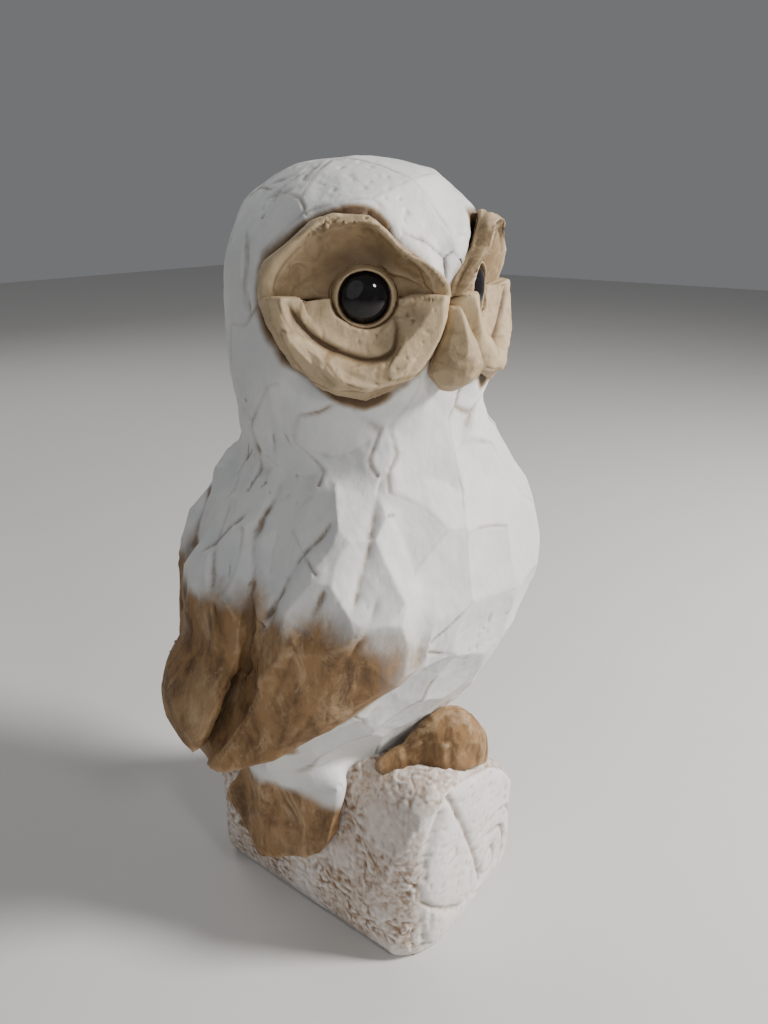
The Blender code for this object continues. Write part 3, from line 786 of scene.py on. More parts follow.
def part_faces(mesh, trees):
    """For each face, the number of the solid that it lies nearest to."""
    centres = np.empty(len(mesh.polygons) * 3)
    mesh.polygons.foreach_get("center", centres)
    tree, owner = trees
    return np.array([owner[tree.find_nearest(Vector(c))[2]] for c in centres.reshape(-1, 3)])


def vertex_share(mesh, owners, wanted):
    """1 at points whose faces belong to the wanted solids, 0 elsewhere."""
    share = np.zeros(len(mesh.vertices))
    corners = np.empty(len(mesh.loops), np.int64)
    mesh.loops.foreach_get("vertex_index", corners)
    sizes = np.empty(len(mesh.polygons), np.int64)
    mesh.polygons.foreach_get("loop_total", sizes)
    belongs = np.repeat(np.isin(owners, wanted), sizes)
    np.maximum.at(share, corners, belongs.astype(float))
    return share


# The body's carving


def mirrored(places):
    return tuple((-a, z) for a, z in places)


def soften_joins(skin):
    """Lets the wings' tops and fronts and the tail's root run into the body."""
    z = skin.points[:, 2]
    turn = np.degrees(np.abs(body_turn(skin.points)))
    below_neck = 1 - ease(0.318, 0.330, z)
    shoulders = ease(0.225, 0.250, z) * below_neck
    fronts = (1 - ease(116, 128, turn)) * ease(0.165, 0.19, z) * below_neck
    root = ease(0.080, 0.098, z) * (1 - ease(0.124, 0.134, z)) * ease(88, 112, turn)
    weight = np.clip(np.maximum(np.maximum(shoulders, fronts), root), 0, 1)
    for share in (weight, np.clip(root, 0, 1)):
        soft = skin.averaged(skin.points, 90, 0.8)
        skin.points = skin.points + share[:, None] * (soft - skin.points)
    skin.renew()


def chisel(skin, head, wings, tail):
    """Cuts facets: wide on the breast and flanks, smaller on the head, long on the feathers, and
    three long hollows on the tail. Returns the nearest ridge, how cracked it is, and how far each
    point belongs to the tail and to its root."""
    lift, ridge, crack = facets(skin, BREAST_CUT - 0.005 * head, 0.075, 0.4 * MM, 11, 0.62)
    long_lift, long_ridge, long_crack = facets(
        skin, FEATHER_CUT, 0.05, 0.2 * MM, 23, 0.12, (1, 1, 0.42), 0.09)
    feathered = np.maximum(wings, tail)
    blended = skin.averaged(feathered, 60, 0.8)
    lift = lift * (1 - 0.72 * head) * (1 - blended) + long_lift * blended
    painted = ease(0.245, 0.215, skin.points[:, 2]) * blended
    lift = lift * (1 - 0.45 * painted) - 0.7 * MM * painted

    strip = (skin.points[:, 1] - TAIL_LOW.y) / (TAIL_HIGH.y - TAIL_LOW.y)
    strip = np.interp(strip, TAIL_STRIPS, (0.0, 1.0, 2.0, 3.0)) + 0.06 * noise(skin.points, 0.03, 63)
    trough = np.abs(np.sin(math.pi * np.clip(strip, 0, 3))) ** 0.8
    trough *= ease(TAIL_LOW.z + 0.004, TAIL_LOW.z + 0.022, skin.points[:, 2])
    at_tail = skin.averaged(tail, 40, 0.8)
    lift = lift * (1 - at_tail * ease(0.110, 0.085, skin.points[:, 2]))
    on_tail = at_tail * ease(0.4, 0.8, -skin.normals[:, 0])
    lift = lift * (1 - on_tail) + on_tail * (1.6 - 2.4 * trough) * MM
    skin.push(np.clip(lift - 1.6 * MM, -4.0 * MM, 2.4 * MM))

    root = at_tail * (1 - at_tail) * 4 * ease(0.085, 0.105, skin.points[:, 2])
    root = skin.averaged(np.clip(1.5 * root, 0, 1), 10)
    skin.points = skin.points * (1 - root[:, None]) + skin.averaged(skin.points, 70) * root[:, None]
    skin.renew()
    ridge = np.where(feathered > 0.5, long_ridge, ridge)
    crack = np.where(feathered > 0.5, long_crack, crack)
    return ridge, crack, at_tail, root


def feather_grooves(skin, tree):
    """Depth of the grooves along the feathers' edges, and the dark line at their bottoms."""
    cut = np.zeros(len(skin.points))
    lined = np.zeros(len(skin.points))
    for places, width, depth in FEATHER_GROOVES:
        for line in (places, mirrored(places)):
            gap, along = near_line(skin.points, skin_line(tree, line))
            gap = gap + 0.7 * MM * noise(skin.points, 0.006, 61)
            strength = 0.35 + 0.65 * ease(0.0, 0.12, along) * (1 - ease(0.88, 1.0, along))
            cut += depth * MM * strength * np.exp(-np.abs(gap) / (width * MM) * 1.3) * (np.abs(gap) < 0.02)
            lined = np.maximum(lined, strength * bell(gap, 1.5 * MM))
    return cut, lined


def seat_mask(skin):
    """Brings the head up to the mask's back, with a moat round its edge. Returns each point's
    angle from the beak, its distance to the mask, and how far it lies between the eyes."""
    to_mask = np.full(len(skin.points), 0.05)
    close = np.nonzero(skin.points[:, 2] > 0.31)[0]
    to_mask[close] = distances(mask_outline(), skin.points[close], 0.02)
    aside = np.abs(wrapped(np.arctan2(skin.points[:, 1], skin.points[:, 0]) - FACE_YAW))
    between = ease(0.55, 0.25, aside)
    above = ease(0.0, 0.02, skin.points[:, 2] - EYE.z) * ease(0.26, 0.12, aside)
    reach = np.min([np.hypot(*face_places(skin.points, side)) for side in SIDES.values()], axis=0)
    round_mask = ease(0.024, 0.030, reach) * ease(1.0, 0.7, aside)
    filled = np.minimum(3.0 * between + 2.5 * above + 3.0 * round_mask, 5.5)
    moat = -1.6 * bell(to_mask, 4.5 * MM) * (1 - between)
    skin.push((moat + filled * bell(to_mask, 8.0 * MM)) * MM)
    return aside, to_mask, between


def back_strokes(skin, aside):
    """Long strokes down the back of the head, the neck and the tops of the wings."""
    rear = ease(0.9, 1.5, aside) * ease(0.225, 0.255, skin.points[:, 2])
    crests = ridged(warped(skin.points, 0.03, 0.004, 65) * np.array([1.0, 1.0, 0.26]), 0.0125, 2, 66)
    stroke = ease(0.95, 1.45, crests) * ease(-0.35, 0.15, noise(skin.points, 0.03, 67)) * rear
    skin.push(-0.9 * MM * stroke)
    return stroke


def broaden_tail(skin, at_tail):
    """Keeps the tail's end broad on the owl's left."""
    low = np.clip((skin.points[:, 2] - TAIL_LOW.z) / 0.045, 0, 1)
    beyond = np.maximum(skin.points[:, 1] - (TAIL_LOW.y + TAIL_HIGH.y) / 2, 0)
    skin.points[:, 1] += at_tail * 0.45 * (1 - low) * beyond
    skin.points[:, 2] += at_tail * 0.25 * (1 - low) ** 2 * beyond
    skin.renew()


def browned(skin, wings, tail):
    """1 where the body is painted brown: the lower wings, the notch between them at the back, and the tail's
    end; in the notch the brown is also painted shade.
    """
    z = skin.points[:, 2]
    wander = 0.007 * layered(skin.points, 0.03, 3, 51)
    behind = -np.cos(body_turn(skin.points))
    ahead = 1 - ease(0.35, 0.72, behind)
    # The notch between the wings at the back gets the brown too: the brown wash there, and also painted
    # shade for the notch's deep shadow
    notch = ease(0.86, 0.93, behind) * ease(0.132, 0.142, z)
    feathers = np.maximum(wings, notch) * (1 - 0.5 * ahead)
    on_wings = ease(*reversed(WING_BROWN), z + wander - 0.012 * np.clip(behind, 0, 1)) * feathers
    on_tail = ease(*reversed(TAIL_BROWN), z + 0.7 * wander) * tail
    return skin.averaged(np.maximum(on_wings, on_tail), 3)


def carve_body():
    body = fused_body()
    skin = Skin(body.data)
    skin.smooth(7)
    owners = part_faces(body.data, combined_tree(BODY_NODES))
    number = {node: i for i, node in enumerate(BODY_NODES)}
    feathers = [number["wing_right"], number["wing_left"], number["mantle"]]
    wings = skin.averaged(vertex_share(body.data, owners, feathers), 4)
    tail = skin.averaged(vertex_share(body.data, owners, [number["tail"]]), 4)
    head = ease(0.300, 0.325, skin.points[:, 2])
    soften_joins(skin)
    tree = BVHTree.FromPolygons(skin.points.tolist(), [tuple(p.vertices) for p in body.data.polygons])
    ridge, crack, at_tail, root = chisel(skin, head, wings, tail)
    cut, lined = feather_grooves(skin, tree)
    seam = crack * (0.35 + 0.65 * ease(-0.2, 0.3, noise(skin.points, 0.02, 77)))
    thin = seam * bell(ridge, CRACK_WIDTH) * (1 - np.clip(2 * root, 0, 1))
    skin.push(-cut - 0.8 * MM * thin + worn(skin))
    aside, to_mask, between = seat_mask(skin)
    stroke = back_strokes(skin, aside)
    broaden_tail(skin, at_tail)

    hollow = skin.hollowness(6)
    cavity = ease(0.10 * MM, 0.55 * MM, hollow) + 0.75 * ease(0.5 * MM, 2.6 * MM, skin.hollowness(26))
    # Painted shade: the head darkened close round the mask's edge, less between the eyes
    cavity = np.maximum(cavity * (1 - 0.8 * root), (1.1 - 0.6 * between) * bell(to_mask, 3.5 * MM))
    # A darkening that spreads from the mask's edge, wider at the back of the head and weaker between the
    # eyes: painted shade together with the brown wash there
    outer = 1 + 0.8 * ease(1.05, 1.35, aside) - 0.45 * between
    spread = (to_mask + 1.2 * MM * noise(skin.points, 0.009, 57)) / outer
    skin.write("brown", browned(skin, wings, tail))
    skin.write("cavity", np.clip(cavity, 0, 1))
    skin.write("edge", ease(0.06 * MM, 0.32 * MM, -hollow))
    skin.write("crack", np.clip(np.maximum(np.maximum(thin, 0.8 * lined), 0.4 * stroke), 0, 1))
    skin.write("stain_and_shade", (1 - ease(2.4 * MM, 8.0 * MM, spread)) * (1 - 0.35 * between))
    return body, skin, owners, number


def split_body(body, skin, owners, number):
    """Parts the carved skin by node; each part keeps the whole skin's normals at its seams."""
    made = {}
    stored = {}
    for name in ("brown", "cavity", "edge", "crack", "stain_and_shade"):
        stored[name] = np.empty(len(skin.points), np.float32)
        body.data.attributes[name].data.foreach_get("value", stored[name])
    polygons = np.array([tuple(p.vertices) for p in body.data.polygons])
    for node, i in number.items():
        faces = polygons[owners == i]
        used, renumbered = np.unique(faces, return_inverse=True)
        mesh = bpy.data.meshes.new(node + "_carved")
        mesh.from_pydata(skin.points[used].tolist(), [], renumbered.reshape(faces.shape).tolist())
        for name, values in stored.items():
            layer = mesh.attributes.new(name, "FLOAT", "POINT")
            layer.data.foreach_set("value", values[used])
        mesh.shade_smooth()
        mesh.normals_split_custom_set_from_vertices(skin.normals[used].tolist())
        made[node] = bpy.data.objects.new(node + "_carved", mesh)
        bpy.context.scene.collection.objects.link(made[node])
    bpy.data.objects.remove(body)
    return made


# Face


def eye_place(side):
    centre = box_centre("eye_right" if side < 0 else "eye_left")
    return azimuth_of(centre), centre.z


def eye_directions(side):
    """The way the eye looks, and the way across the face away from the beak."""
    azimuth = eye_place(side)[0]
    outward = np.array([math.cos(azimuth), math.sin(azimuth), 0.0])
    return outward, side * np.array([-math.sin(azimuth), math.cos(azimuth), 0.0])


def face_places(points, side):
    """Each point's distance outward and up from the eye, in metres."""
    azimuth, height = eye_place(side)
    turn = wrapped(np.arctan2(points[:, 1], points[:, 0]) - azimuth)
    return side * turn * HEAD_RADIUS, points[:, 2] - height


def reshaped(points, side):
    """Draws the mask's outline in: to a point outward, and low over the beak."""
    across, up = face_places(points, side)
    points = points.copy()
    turn = -side * 0.07 * across * ease(0.018, 0.042, across) / HEAD_RADIUS
    radius = np.hypot(points[:, 0], points[:, 1])
    angle = np.arctan2(points[:, 1], points[:, 0]) + turn
    points[:, 0] = radius * np.cos(angle)
    points[:, 1] = radius * np.sin(angle)
    drop = 0.27 * ease(-0.002, -0.017, across) + 0.09 * ease(0.012, 0.036, across)
    points[:, 2] -= np.maximum(up, 0) * drop * ease(0.010, 0.018, np.hypot(across, up))
    return points


def mask_outline():
    """A search tree over the drawn-in mask."""
    places = []
    faces = []
    for name, side in SIDES.items():
        for part in ("brow", "cheek"):
            mesh = NODES[f"{part}_{name}"].data
            start = len(places)
            points = np.array([v.co[:] for v in mesh.vertices])
            places.extend(reshaped(points, side).tolist())
            faces.extend([start + i for i in face.vertices] for face in mesh.polygons)
    return BVHTree.FromPolygons(places, faces)


def lined_skin(node, size, rounds):
    made = remeshed(object_from(cad_bmesh(node), node + "_carved"), size)
    skin = Skin(made.data)
    skin.smooth(rounds)
    return made, skin


def finish_skin(skin, thin, base_tree, light, reach=3.4 * MM):
    """Writes how deep, sharp, cracked and light each point is; base_tree is what it sits on, and points near
    it are darkened as painted shade.
    """
    hollow = skin.hollowness(5)
    cavity = ease(0.08 * MM, 0.4 * MM, hollow)
    # Painted shade: darker close to the part that this piece sits on
    cavity = np.maximum(cavity, bell(distances(base_tree, skin.points, 0.02), reach))
    cavity = cavity + 0.5 * ease(0.15 * MM, 0.9 * MM, skin.hollowness(18))
    skin.write("cavity", np.clip(cavity, 0, 1))
    skin.write("edge", ease(0.05 * MM, 0.26 * MM, -hollow))
    skin.write("crack", np.clip(thin, 0, 1))
    skin.write("light", np.broadcast_to(light, len(skin.points)))


def sunk_along(skin, direction, amount):
    """Moves the points that face a direction back against it."""
    facing = ease(0.15, 0.5, skin.normals @ direction)
    skin.points = skin.points - direction * (facing * amount)[:, None]
    skin.renew()


def close_mask(skin, side, upward):
    """Draws the disc in round the lid, lifts it beside the beak and closes the split."""
    outward, sideways = eye_directions(side)
    skin.points = reshaped(skin.points, side)
    skin.renew()
    across, up = face_places(skin.points, side)
    from_eye = np.hypot(across, up)
    pull = 2.5 * MM * ease(0.0200, 0.0150, from_eye) / np.maximum(from_eye, 1e-6)
    skin.points = skin.points - (pull * across)[:, None] * sideways
    skin.points[:, 2] -= pull * up
    skin.renew()
    sunk_along(skin, outward, -2.0 * MM * ease(-0.007, -0.017, across))
    skin.points[:, 2] -= 0.7 * MM * upward * ease(1.6 * MM, 0.6 * MM, np.abs(up))
    skin.renew()
    return across, up, outward


def carve_brow(skin, side):
    """Scooped above the eye, under a thick pitted rim."""
    across, up, outward = close_mask(skin, side, 1)
    share = np.hypot(np.abs(across) / DISC_WIDTH, np.abs(up) / DISC_RISE)
    scoop = ease(0.34, 0.44, share) * (1 - ease(0.50, 0.86, share))
    crease = bell(share - 0.87, 0.022)
    rim = ease(0.80, 0.92, share)
    sunk_along(skin, outward, (1.8 * scoop + 0.8 * crease) * MM)
    lift, ridge, crack = facets(skin, 0.016, 0.10, 0.2 * MM, 31 + side, 0.3, (1, 1, 1), 0.12)
    skin.push(np.clip(lift - 0.9 * MM, -2.0 * MM, 1.0 * MM) * (0.6 + 0.4 * ease(0.6, 0.9, share)))
    bites = np.maximum(noise(skin.points, 0.0021, 15) - 0.35, 0) * rim
    bites *= ease(-0.1, 0.4, noise(skin.points, 0.015, 16))
    light = 0.12 + 0.30 * bell(share - 0.40, 0.1) + 0.75 * rim
    # Painted shade: the upper middle of the scoop above the eye is darkened
    stain_and_shade = 0.5 * scoop * ease(0.35, 0.9, up / 0.02) * bell(share - 0.55, 0.2)
    return ridge, crack, bites, 0.3 * crease, light, stain_and_shade


def carve_cheek(skin, side):
    """A full band outside the arc groove, and a shallow dish inside it."""
    across, up, outward = close_mask(skin, side, -1)
    from_eye = np.hypot(across, up)
    lift, ridge, crack = facets(skin, 0.0145, 0.10, 0.2 * MM, 31 + side, 0.3, (1, 1, 1), 0.10)
    skin.push(np.clip(lift - 0.9 * MM, -1.8 * MM, 1.2 * MM) * (0.45 + 0.55 * ease(0.018, 0.026, from_eye)))
    gap, along = near_line(np.stack([across, up], axis=1), bowed(CHEEK_ARC) * MM)
    inside = ease(3.0 * MM, 0.0, gap) * (from_eye < 0.027)
    fade = 0.3 + 0.7 * ease(0.0, 0.08, along) * (1 - ease(0.72, 0.95, along))
    groove = np.exp(-gap / (0.9 * MM)) * fade
    sunk_along(skin, outward, (2.4 * groove + 0.7 * inside * fade) * MM)
    bites = 0.3 * np.maximum(noise(skin.points, 0.0022, 15) - 0.5, 0)
    light = 0.75 + 0.25 * ease(0.024, 0.03, from_eye)
    stain_and_shade = 0.85 * bell(gap, 1.1 * MM) * fade
    return ridge, crack, bites, groove, light, stain_and_shade


def make_mask(material):
    hood_tree = tree_of(cad_bmesh("hood"))
    for name, side in SIDES.items():
        for part, carve in (("brow", carve_brow), ("cheek", carve_cheek)):
            made, skin = lined_skin(f"{part}_{name}", MASK_NET, 3)
            ridge, crack, bites, groove, light, stain_and_shade = carve(skin, side)
            thin = crack * bell(ridge, CRACK_WIDTH)
            skin.push(-0.5 * MM * thin - 2.4 * MM * bites + worn(skin, 0.12 * MM, 13) * 0.6)
            skin.write("stain_and_shade", np.clip(stain_and_shade, 0, 1))
            finish_skin(skin, np.maximum(0.7 * thin, 0.8 * groove), hood_tree, light)
            finish_piece(made, f"{part}_{name}", material)


def make_beak(material):
    made, skin = lined_skin("beak", BEAK_NET, 3)
    lift, ridge, _ = facets(skin, 0.0085, 0.10, 0.1 * MM, 8, 0.0, (1, 1, 0.35))
    skin.push(np.clip(lift - 0.2 * MM, -0.9 * MM, 0.6 * MM) + worn(skin, 0.1 * MM, 17) * 0.4)
    skin.write("stain_and_shade", np.zeros(len(skin.points)))
    finish_skin(skin, 0.35 * bell(ridge, 0.6 * MM), tree_of(cad_bmesh("cheek_right")), 0.55, 1.6 * MM)
    finish_piece(made, "beak", material)


def set_back(skin, outward):
    """Moves an eye's piece a little deeper into the mask."""
    skin.points = skin.points - EYE_SET_BACK * outward
    skin.renew()


def make_lid(name, side, material):
    """A thin rim round the eye, drawn out a little at its corners."""
    made, skin = lined_skin(f"lid_{name}", LID_NET, 3)
    across, up = face_places(skin.points, side)
    outward, sideways = eye_directions(side)
    from_eye = np.hypot(across, up)
    outer = ease(0.0120, 0.0140, from_eye)
    skin.push(worn(skin, 0.12 * MM, 19) * 1.2 + 0.1 * MM * outer)
    sunk_along(skin, outward, (3.2 * outer - 0.8 * ease(0.002, 0.010, up)) * MM)
    corner = ease(0.55, 1.0, np.abs(across) / np.maximum(from_eye, 1e-6)) * outer
    skin.points = skin.points + (0.7 * MM * corner * np.sign(across))[:, None] * sideways
    set_back(skin, outward)
    eye_tree = tree_of(cad_bmesh(f"eye_{name}"))
    # Painted shade: the lid darkened next to the eye
    skin.write("stain_and_shade", 0.6 * bell(distances(eye_tree, skin.points), 1.0 * MM))
    finish_skin(skin, np.zeros(len(skin.points)), eye_tree, 0.30, 1.0 * MM)
    finish_piece(made, f"lid_{name}", material)


def make_eye(name, side, material):
    made, skin = lined_skin(f"eye_{name}", EYE_NET, 9)
    set_back(skin, eye_directions(side)[0])
    finish_piece(made, f"eye_{name}", material)


# Feet


def pinned_foot(name):
    """The foot's solid, let into the log, with the pin's hole filled over."""
    node = f"foot_{name}"
    pin_middle = box_centre(f"pin_{name}")
    bm = cad_bmesh(node)
    for v in bm.verts:
        if LOG_TREE.find_nearest(v.co, 2 * MM)[3] is not None:
            v.co.z -= 2.5 * MM
    pin = cad_bmesh(f"pin_{name}")
    for v in pin.verts:
        sideways = Vector((v.co.x, v.co.y, 0)) - Vector((*pin_middle.xy, 0))
        v.co += sideways.normalized() * 1.2 * MM
        v.co.z += 1.5 * MM if v.co.z > pin_middle.z else 0.0
    join(bm, pin, node)
    return remeshed(object_from(bm, node + "_carved"), FOOT_NET)


def toe_creases(skin, name, side):
    """Creases across the foot: two that slant back from its middle, and one near its end."""
    middle = np.array(box_centre(f"foot_{name}"))
    heading = TRUNK_YAW + side * FOOT_TURN
    toward = np.array([math.cos(heading), math.sin(heading), 0.0])
    along = (skin.points - middle) @ toward / FOOT_LENGTH + 0.5 + 0.02 * noise(skin.points, 0.01, 47)
    aside = (skin.points - middle) @ np.array([-toward[1], toward[0], 0.0])
    slant = along - 6.0 * np.abs(aside) + 0.05
    return 0.8 * bell(slant - 0.24, 0.035) + 0.5 * bell(slant - 0.37, 0.025) + 0.4 * bell(along - 0.84, 0.02)


def make_foot(name, side, material):
    made = pinned_foot(name)
    skin = Skin(made.data)
    skin.smooth(4)
    lift, _, _ = facets(skin, 0.019, 0.06, 0.2 * MM, 43 + side, 0.0, (1, 1, 0.7), 0.07)
    away = ease(2.0 * MM, 6.0 * MM, distances(tree_of(cad_bmesh(f"pin_{name}")), skin.points, 0.02))
    skin.push(np.clip(lift - 0.5 * MM, -1.0 * MM, 1.0 * MM) * away + 0.5 * MM * (1 - away))
    crease = toe_creases(skin, name, side)
    skin.push(-1.0 * MM * crease + worn(skin, 0.2 * MM, 23))
    finish_skin(skin, 0.8 * crease, LOG_TREE, 0.3, 2.6 * MM)
    skin.write("brown", np.ones(len(skin.points)))
    skin.write("stain_and_shade", np.zeros(len(skin.points)))
    finish_piece(made, f"foot_{name}", material)


# Log


def rounded_plan(points):
    """The log's upright corners and its foot rounded off, one corner more than the others."""
    half = np.array([LOG_HIGH.x, LOG_HIGH.y])
    near = ease(0.0, 0.03, -points[:, 0]) * ease(0.0, 0.03, -points[:, 1])
    corner = (CORNER + (NEAR_CORNER - CORNER) * near)[:, None]
    inner = np.minimum(np.abs(points[:, :2]), half - corner)
    beyond = np.abs(points[:, :2]) - inner
    far = np.linalg.norm(beyond, axis=1)[:, None]
    points = points.copy()
    points[:, :2] = np.sign(points[:, :2]) * (inner + beyond * np.minimum(1, corner / np.maximum(far, 1e-9)))
    low = np.clip(1 - points[:, 2] / GROUND_ROUND, 0, 1)
    inset = GROUND_INSET * (1 - np.sqrt(1 - low**2))
    points[:, :2] *= 1 - inset[:, None] / half
    return points


def bark_height(p):
    """Crumbled crusts and short worm runs, over broad dents, in millimetres; and the runs."""
    crust = ridged(warped(p, 0.009, 0.004, 71), 0.0085, 4, 73)
    runs = np.abs(noise(warped(p, 0.008, 0.004, 79), 0.0065, 83))
    worm = bell(runs, 0.18) * ease(-0.1, 0.25, noise(p, 0.022, 85))
    grit = layered(p, 0.0036, 2, 89)
    rugged = 0.55 + 0.45 * ease(-0.4, 0.3, noise(p, 0.02, 87))
    bark = -1.3 + rugged * (0.75 * (crust - 0.5) - 0.7 * worm) + 0.30 * grit
    bark += 1.0 * layered(p * np.array([1.0, 0.6, 1.0]), 0.035, 2, 91)
    return np.clip(bark, -3.6, 0.5), worm


def sawn_height(p, near_end):
    """The sawn ends, in millimetres: a few rings, a split, a curved cut, a gutter along one side
    and pits; and how dark their marks are."""
    flat = np.stack([p[:, 0], p[:, 2]], axis=1)
    level = p * np.array([1.0, 0.0, 1.0])
    out = np.linalg.norm(flat - RING_CENTRE, axis=1) + 0.0022 * noise(level, 0.022, 97)
    ring = np.abs(((out / RING_SPACING + RING_START) % 1.0) - 0.5) * RING_SPACING
    right = np.where(near_end, ease(-0.012, 0.004, flat[:, 0] + 0.25 * (flat[:, 1] - 0.03)), 1.0)
    broken = ease(-0.45, 0.0, noise(level, 0.02, 103))
    rings = bell(ring, 1.5 * MM) * (0.4 + 0.6 * broken)
    rings *= ease(0.004, 0.008, out) * ease(0.042, 0.038, out) * right
    split_gap = near_line(flat, bowed(END_SPLIT))[0] + 0.5 * MM * noise(level, 0.005, 99)
    curve_gap = near_line(flat, bowed(END_CURVE))[0] + 0.4 * MM * noise(level, 0.005, 100)
    split = np.exp(-np.maximum(split_gap, 0) / (1.9 * MM)) * near_end
    curved = np.exp(-np.maximum(curve_gap, 0) / (1.5 * MM)) * near_end
    gutter = bell(near_line(flat, bowed(END_SIDE))[0], 3.5 * MM) * near_end
    sawn = -2.6 * rings - 3.8 * split - 2.4 * curved - 2.4 * gutter
    sawn -= 2.2 * np.maximum(noise(level, 0.0042, 115) - 0.42, 0)
    sawn -= 1.2 * np.maximum(noise(level, 0.0024, 116) - 0.4, 0)
    sawn += 0.8 * layered(level, 0.028, 2, 107) + 0.18 * layered(level, 0.006, 2, 109)
    patchy = 0.5 + 0.5 * ease(-0.3, 0.3, noise(level, 0.011, 112))
    marks = (bell(split_gap, 1.4 * MM) + bell(curve_gap, 1.1 * MM)) * patchy * near_end
    marks += 0.95 * rings * ease(-0.5, 0.1, noise(level, 0.006, 111))
    return sawn, marks


def open_underside(mesh):
    """Leaves out the log's faces under the board."""
    bm = bmesh.new()
    bm.from_mesh(mesh)
    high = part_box("board")[1]
    under = []
    for face in bm.faces:
        middle = face.calc_center_median()
        across = max(abs(middle.x) - high.x, abs(middle.y) - high.y)
        if middle.z < 0.3 * MM and across < 0.5 * MM:
            under.append(face)
    bmesh.ops.delete(bm, geom=under, context="FACES")
    bm.to_mesh(mesh)
    bm.free()
    mesh.shade_smooth()


def make_log(material):
    made = remeshed(object_from(solid_bmesh("log", LOG_INSIDE), "log_carved"), LOG_NET)
    skin = Skin(made.data)
    skin.points = rounded_plan(skin.points)
    skin.smooth(3)
    p, facing = skin.points, skin.normals
    end = ease(0.74, 0.92, np.abs(facing[:, 1]))
    ground = 1 - ease(0.003, 0.010, p[:, 2])
    under = ease(0.5, 0.9, -facing[:, 2]) * (p[:, 2] < 0.004)
    near_end = (end > 0) & (facing[:, 1] < 0)
    bark, worm = bark_height(p)
    sawn, marks = sawn_height(p, near_end)
    skin.push((bark * (1 - end) * (1 - 0.5 * ground) + sawn * end) * (1 - under) * MM)
    skin.points[:, 2] = np.maximum(skin.points[:, 2], 0)
    skin.renew()

    hollow = skin.hollowness(4)
    middling = ease(0.098, 0.070, p[:, 2]) * ease(0.0, 0.02, p[:, 2])
    skin.write("cavity", np.clip(ease(0.02 * MM, 0.35 * MM, hollow) + 0.4 * worm * (1 - end), 0, 1))
    skin.write("edge", ease(0.06 * MM, 0.34 * MM, -hollow))
    skin.write("crack", np.clip(marks * end, 0, 1))
    skin.write("sawn", end)
    skin.write("stain_and_shade", ease(-0.30, 0.35, noise(p, 0.03, 113) + 0.7 * middling))
    open_underside(made.data)
    finish_piece(made, "log", material)


# Build

taupe = taupe_paint()
black = black_gloss()
paints = {slot: carved_paint() for slot in ("white_paint", "wing_paint", "tail_paint", "foot_paint")}
for slot, paint in paints.items():
    paint.name = slot
slots = {"hood": "white_paint", "trunk": "white_paint", "wing_right": "wing_paint",
         "wing_left": "wing_paint", "mantle": "wing_paint", "tail": "tail_paint"}

for node, made in split_body(*carve_body()).items():
    finish_piece(made, node, paints[slots[node]])
make_mask(taupe)
make_beak(taupe)
for name, side in SIDES.items():
    make_lid(name, side, taupe)
    make_eye(name, side, black)
for name, side in SIDES.items():
    make_foot(name, side, paints["foot_paint"])
make_log(bark_paint())

steel = plain_grained("steel", STEEL, STEEL_PALE, 300.0, 0.35, 1.0)
board = plain_grained("board", BOARD, BOARD_PALE, 120.0, 0.8)
felt = plain_grained("felt", FELT, FELT_PALE, 900.0, 0.95)
for node, slot, material in (("pin_right", "steel", steel), ("pin_left", "steel", steel),
                             ("board", "board", board), ("felt", "felt", felt)):
    NODES[node].data.materials.clear()
    NODES[node].data.materials.append(material)


# Floor, light and camera


def level_sheet(name, half, cells):
    """A level sheet of small squares."""
    at = np.linspace(-half, half, cells + 1)
    points = [(x, y, 0.0) for y in at for x in at]
    faces = []
    for j in range(cells):
        for i in range(cells):
            a = j * (cells + 1) + i
            faces.append((a, a + 1, a + cells + 2, a + cells + 1))
    mesh = bpy.data.meshes.new(name)
    mesh.from_pydata(points, [], faces)
    mesh.shade_smooth()
    made = bpy.data.objects.new(name, mesh)
    bpy.context.scene.collection.objects.link(made)
    return made


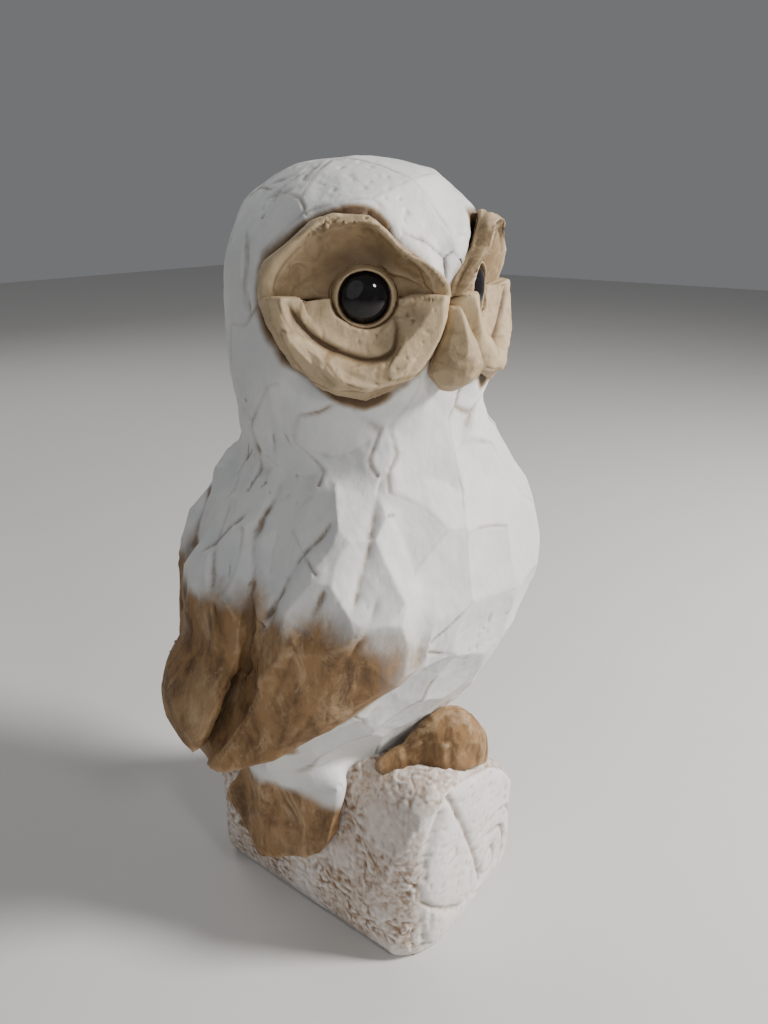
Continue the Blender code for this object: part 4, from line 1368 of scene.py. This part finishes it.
def pointing(azimuth, rise):
    """A direction from its angle round the upright and its angle above level."""
    return Vector((math.cos(azimuth) * math.cos(rise), math.sin(azimuth) * math.cos(rise), math.sin(rise)))


def lamp(name, place, target, power, size, colour):
    data = bpy.data.lights.new(name, "AREA")
    data.energy = power
    data.shape = "DISK"
    data.size = size
    data.color = colour
    made = bpy.data.objects.new(name, data)
    made.location = place
    made.rotation_euler = (Vector(target) - Vector(place)).to_track_quat("-Z", "Y").to_euler()
    bpy.context.scene.collection.objects.link(made)


def glint_place():
    """Where a lamp stands to be mirrored in the near eye, above its middle and towards the beak."""
    facing = pointing(azimuth_of(EYE) + GLINT_TURN, GLINT_RISE)
    to_camera = (Vector(CAMERA_PLACE) - EYE).normalized()
    return EYE + GLINT_DISTANCE * (2 * facing.dot(to_camera) * facing - to_camera)


floor = level_sheet("floor", 4.0, 40)
floor.data.materials.append(plain_grained("floor_pale", FLOOR, FLOOR_PALE, 8.0, 0.9))

lamp("key", (0.70, -1.15, 1.05), AIM, 44.0, 0.35, (1.0, 0.965, 0.92))
lamp("fill", (-1.6, -0.4, 0.9), AIM, 3.0, 1.6, (0.92, 0.96, 1.0))
lamp("back", (0.4, 1.6, 1.4), AIM, 8.0, 1.2, (1.0, 0.98, 0.95))
lamp("glint", glint_place(), EYE, 1.2, 0.10, (1.0, 1.0, 1.0))

world = bpy.data.worlds.new("studio")
bpy.context.scene.world = world
world.use_nodes = True
world.node_tree.nodes["Background"].inputs["Color"].default_value = (0.86, 0.87, 0.90, 1.0)
world.node_tree.nodes["Background"].inputs["Strength"].default_value = 0.20

camera_data = bpy.data.cameras.new("camera")
camera_data.lens = 27.18
camera_data.sensor_width = 36
camera_data.clip_start = 0.01
camera = bpy.data.objects.new("camera", camera_data)
camera.location = CAMERA_PLACE
camera.rotation_euler = pointing(CAMERA_HEADING, CAMERA_PITCH).to_track_quat("-Z", "Y").to_euler()
bpy.context.scene.collection.objects.link(camera)
bpy.context.scene.camera = camera
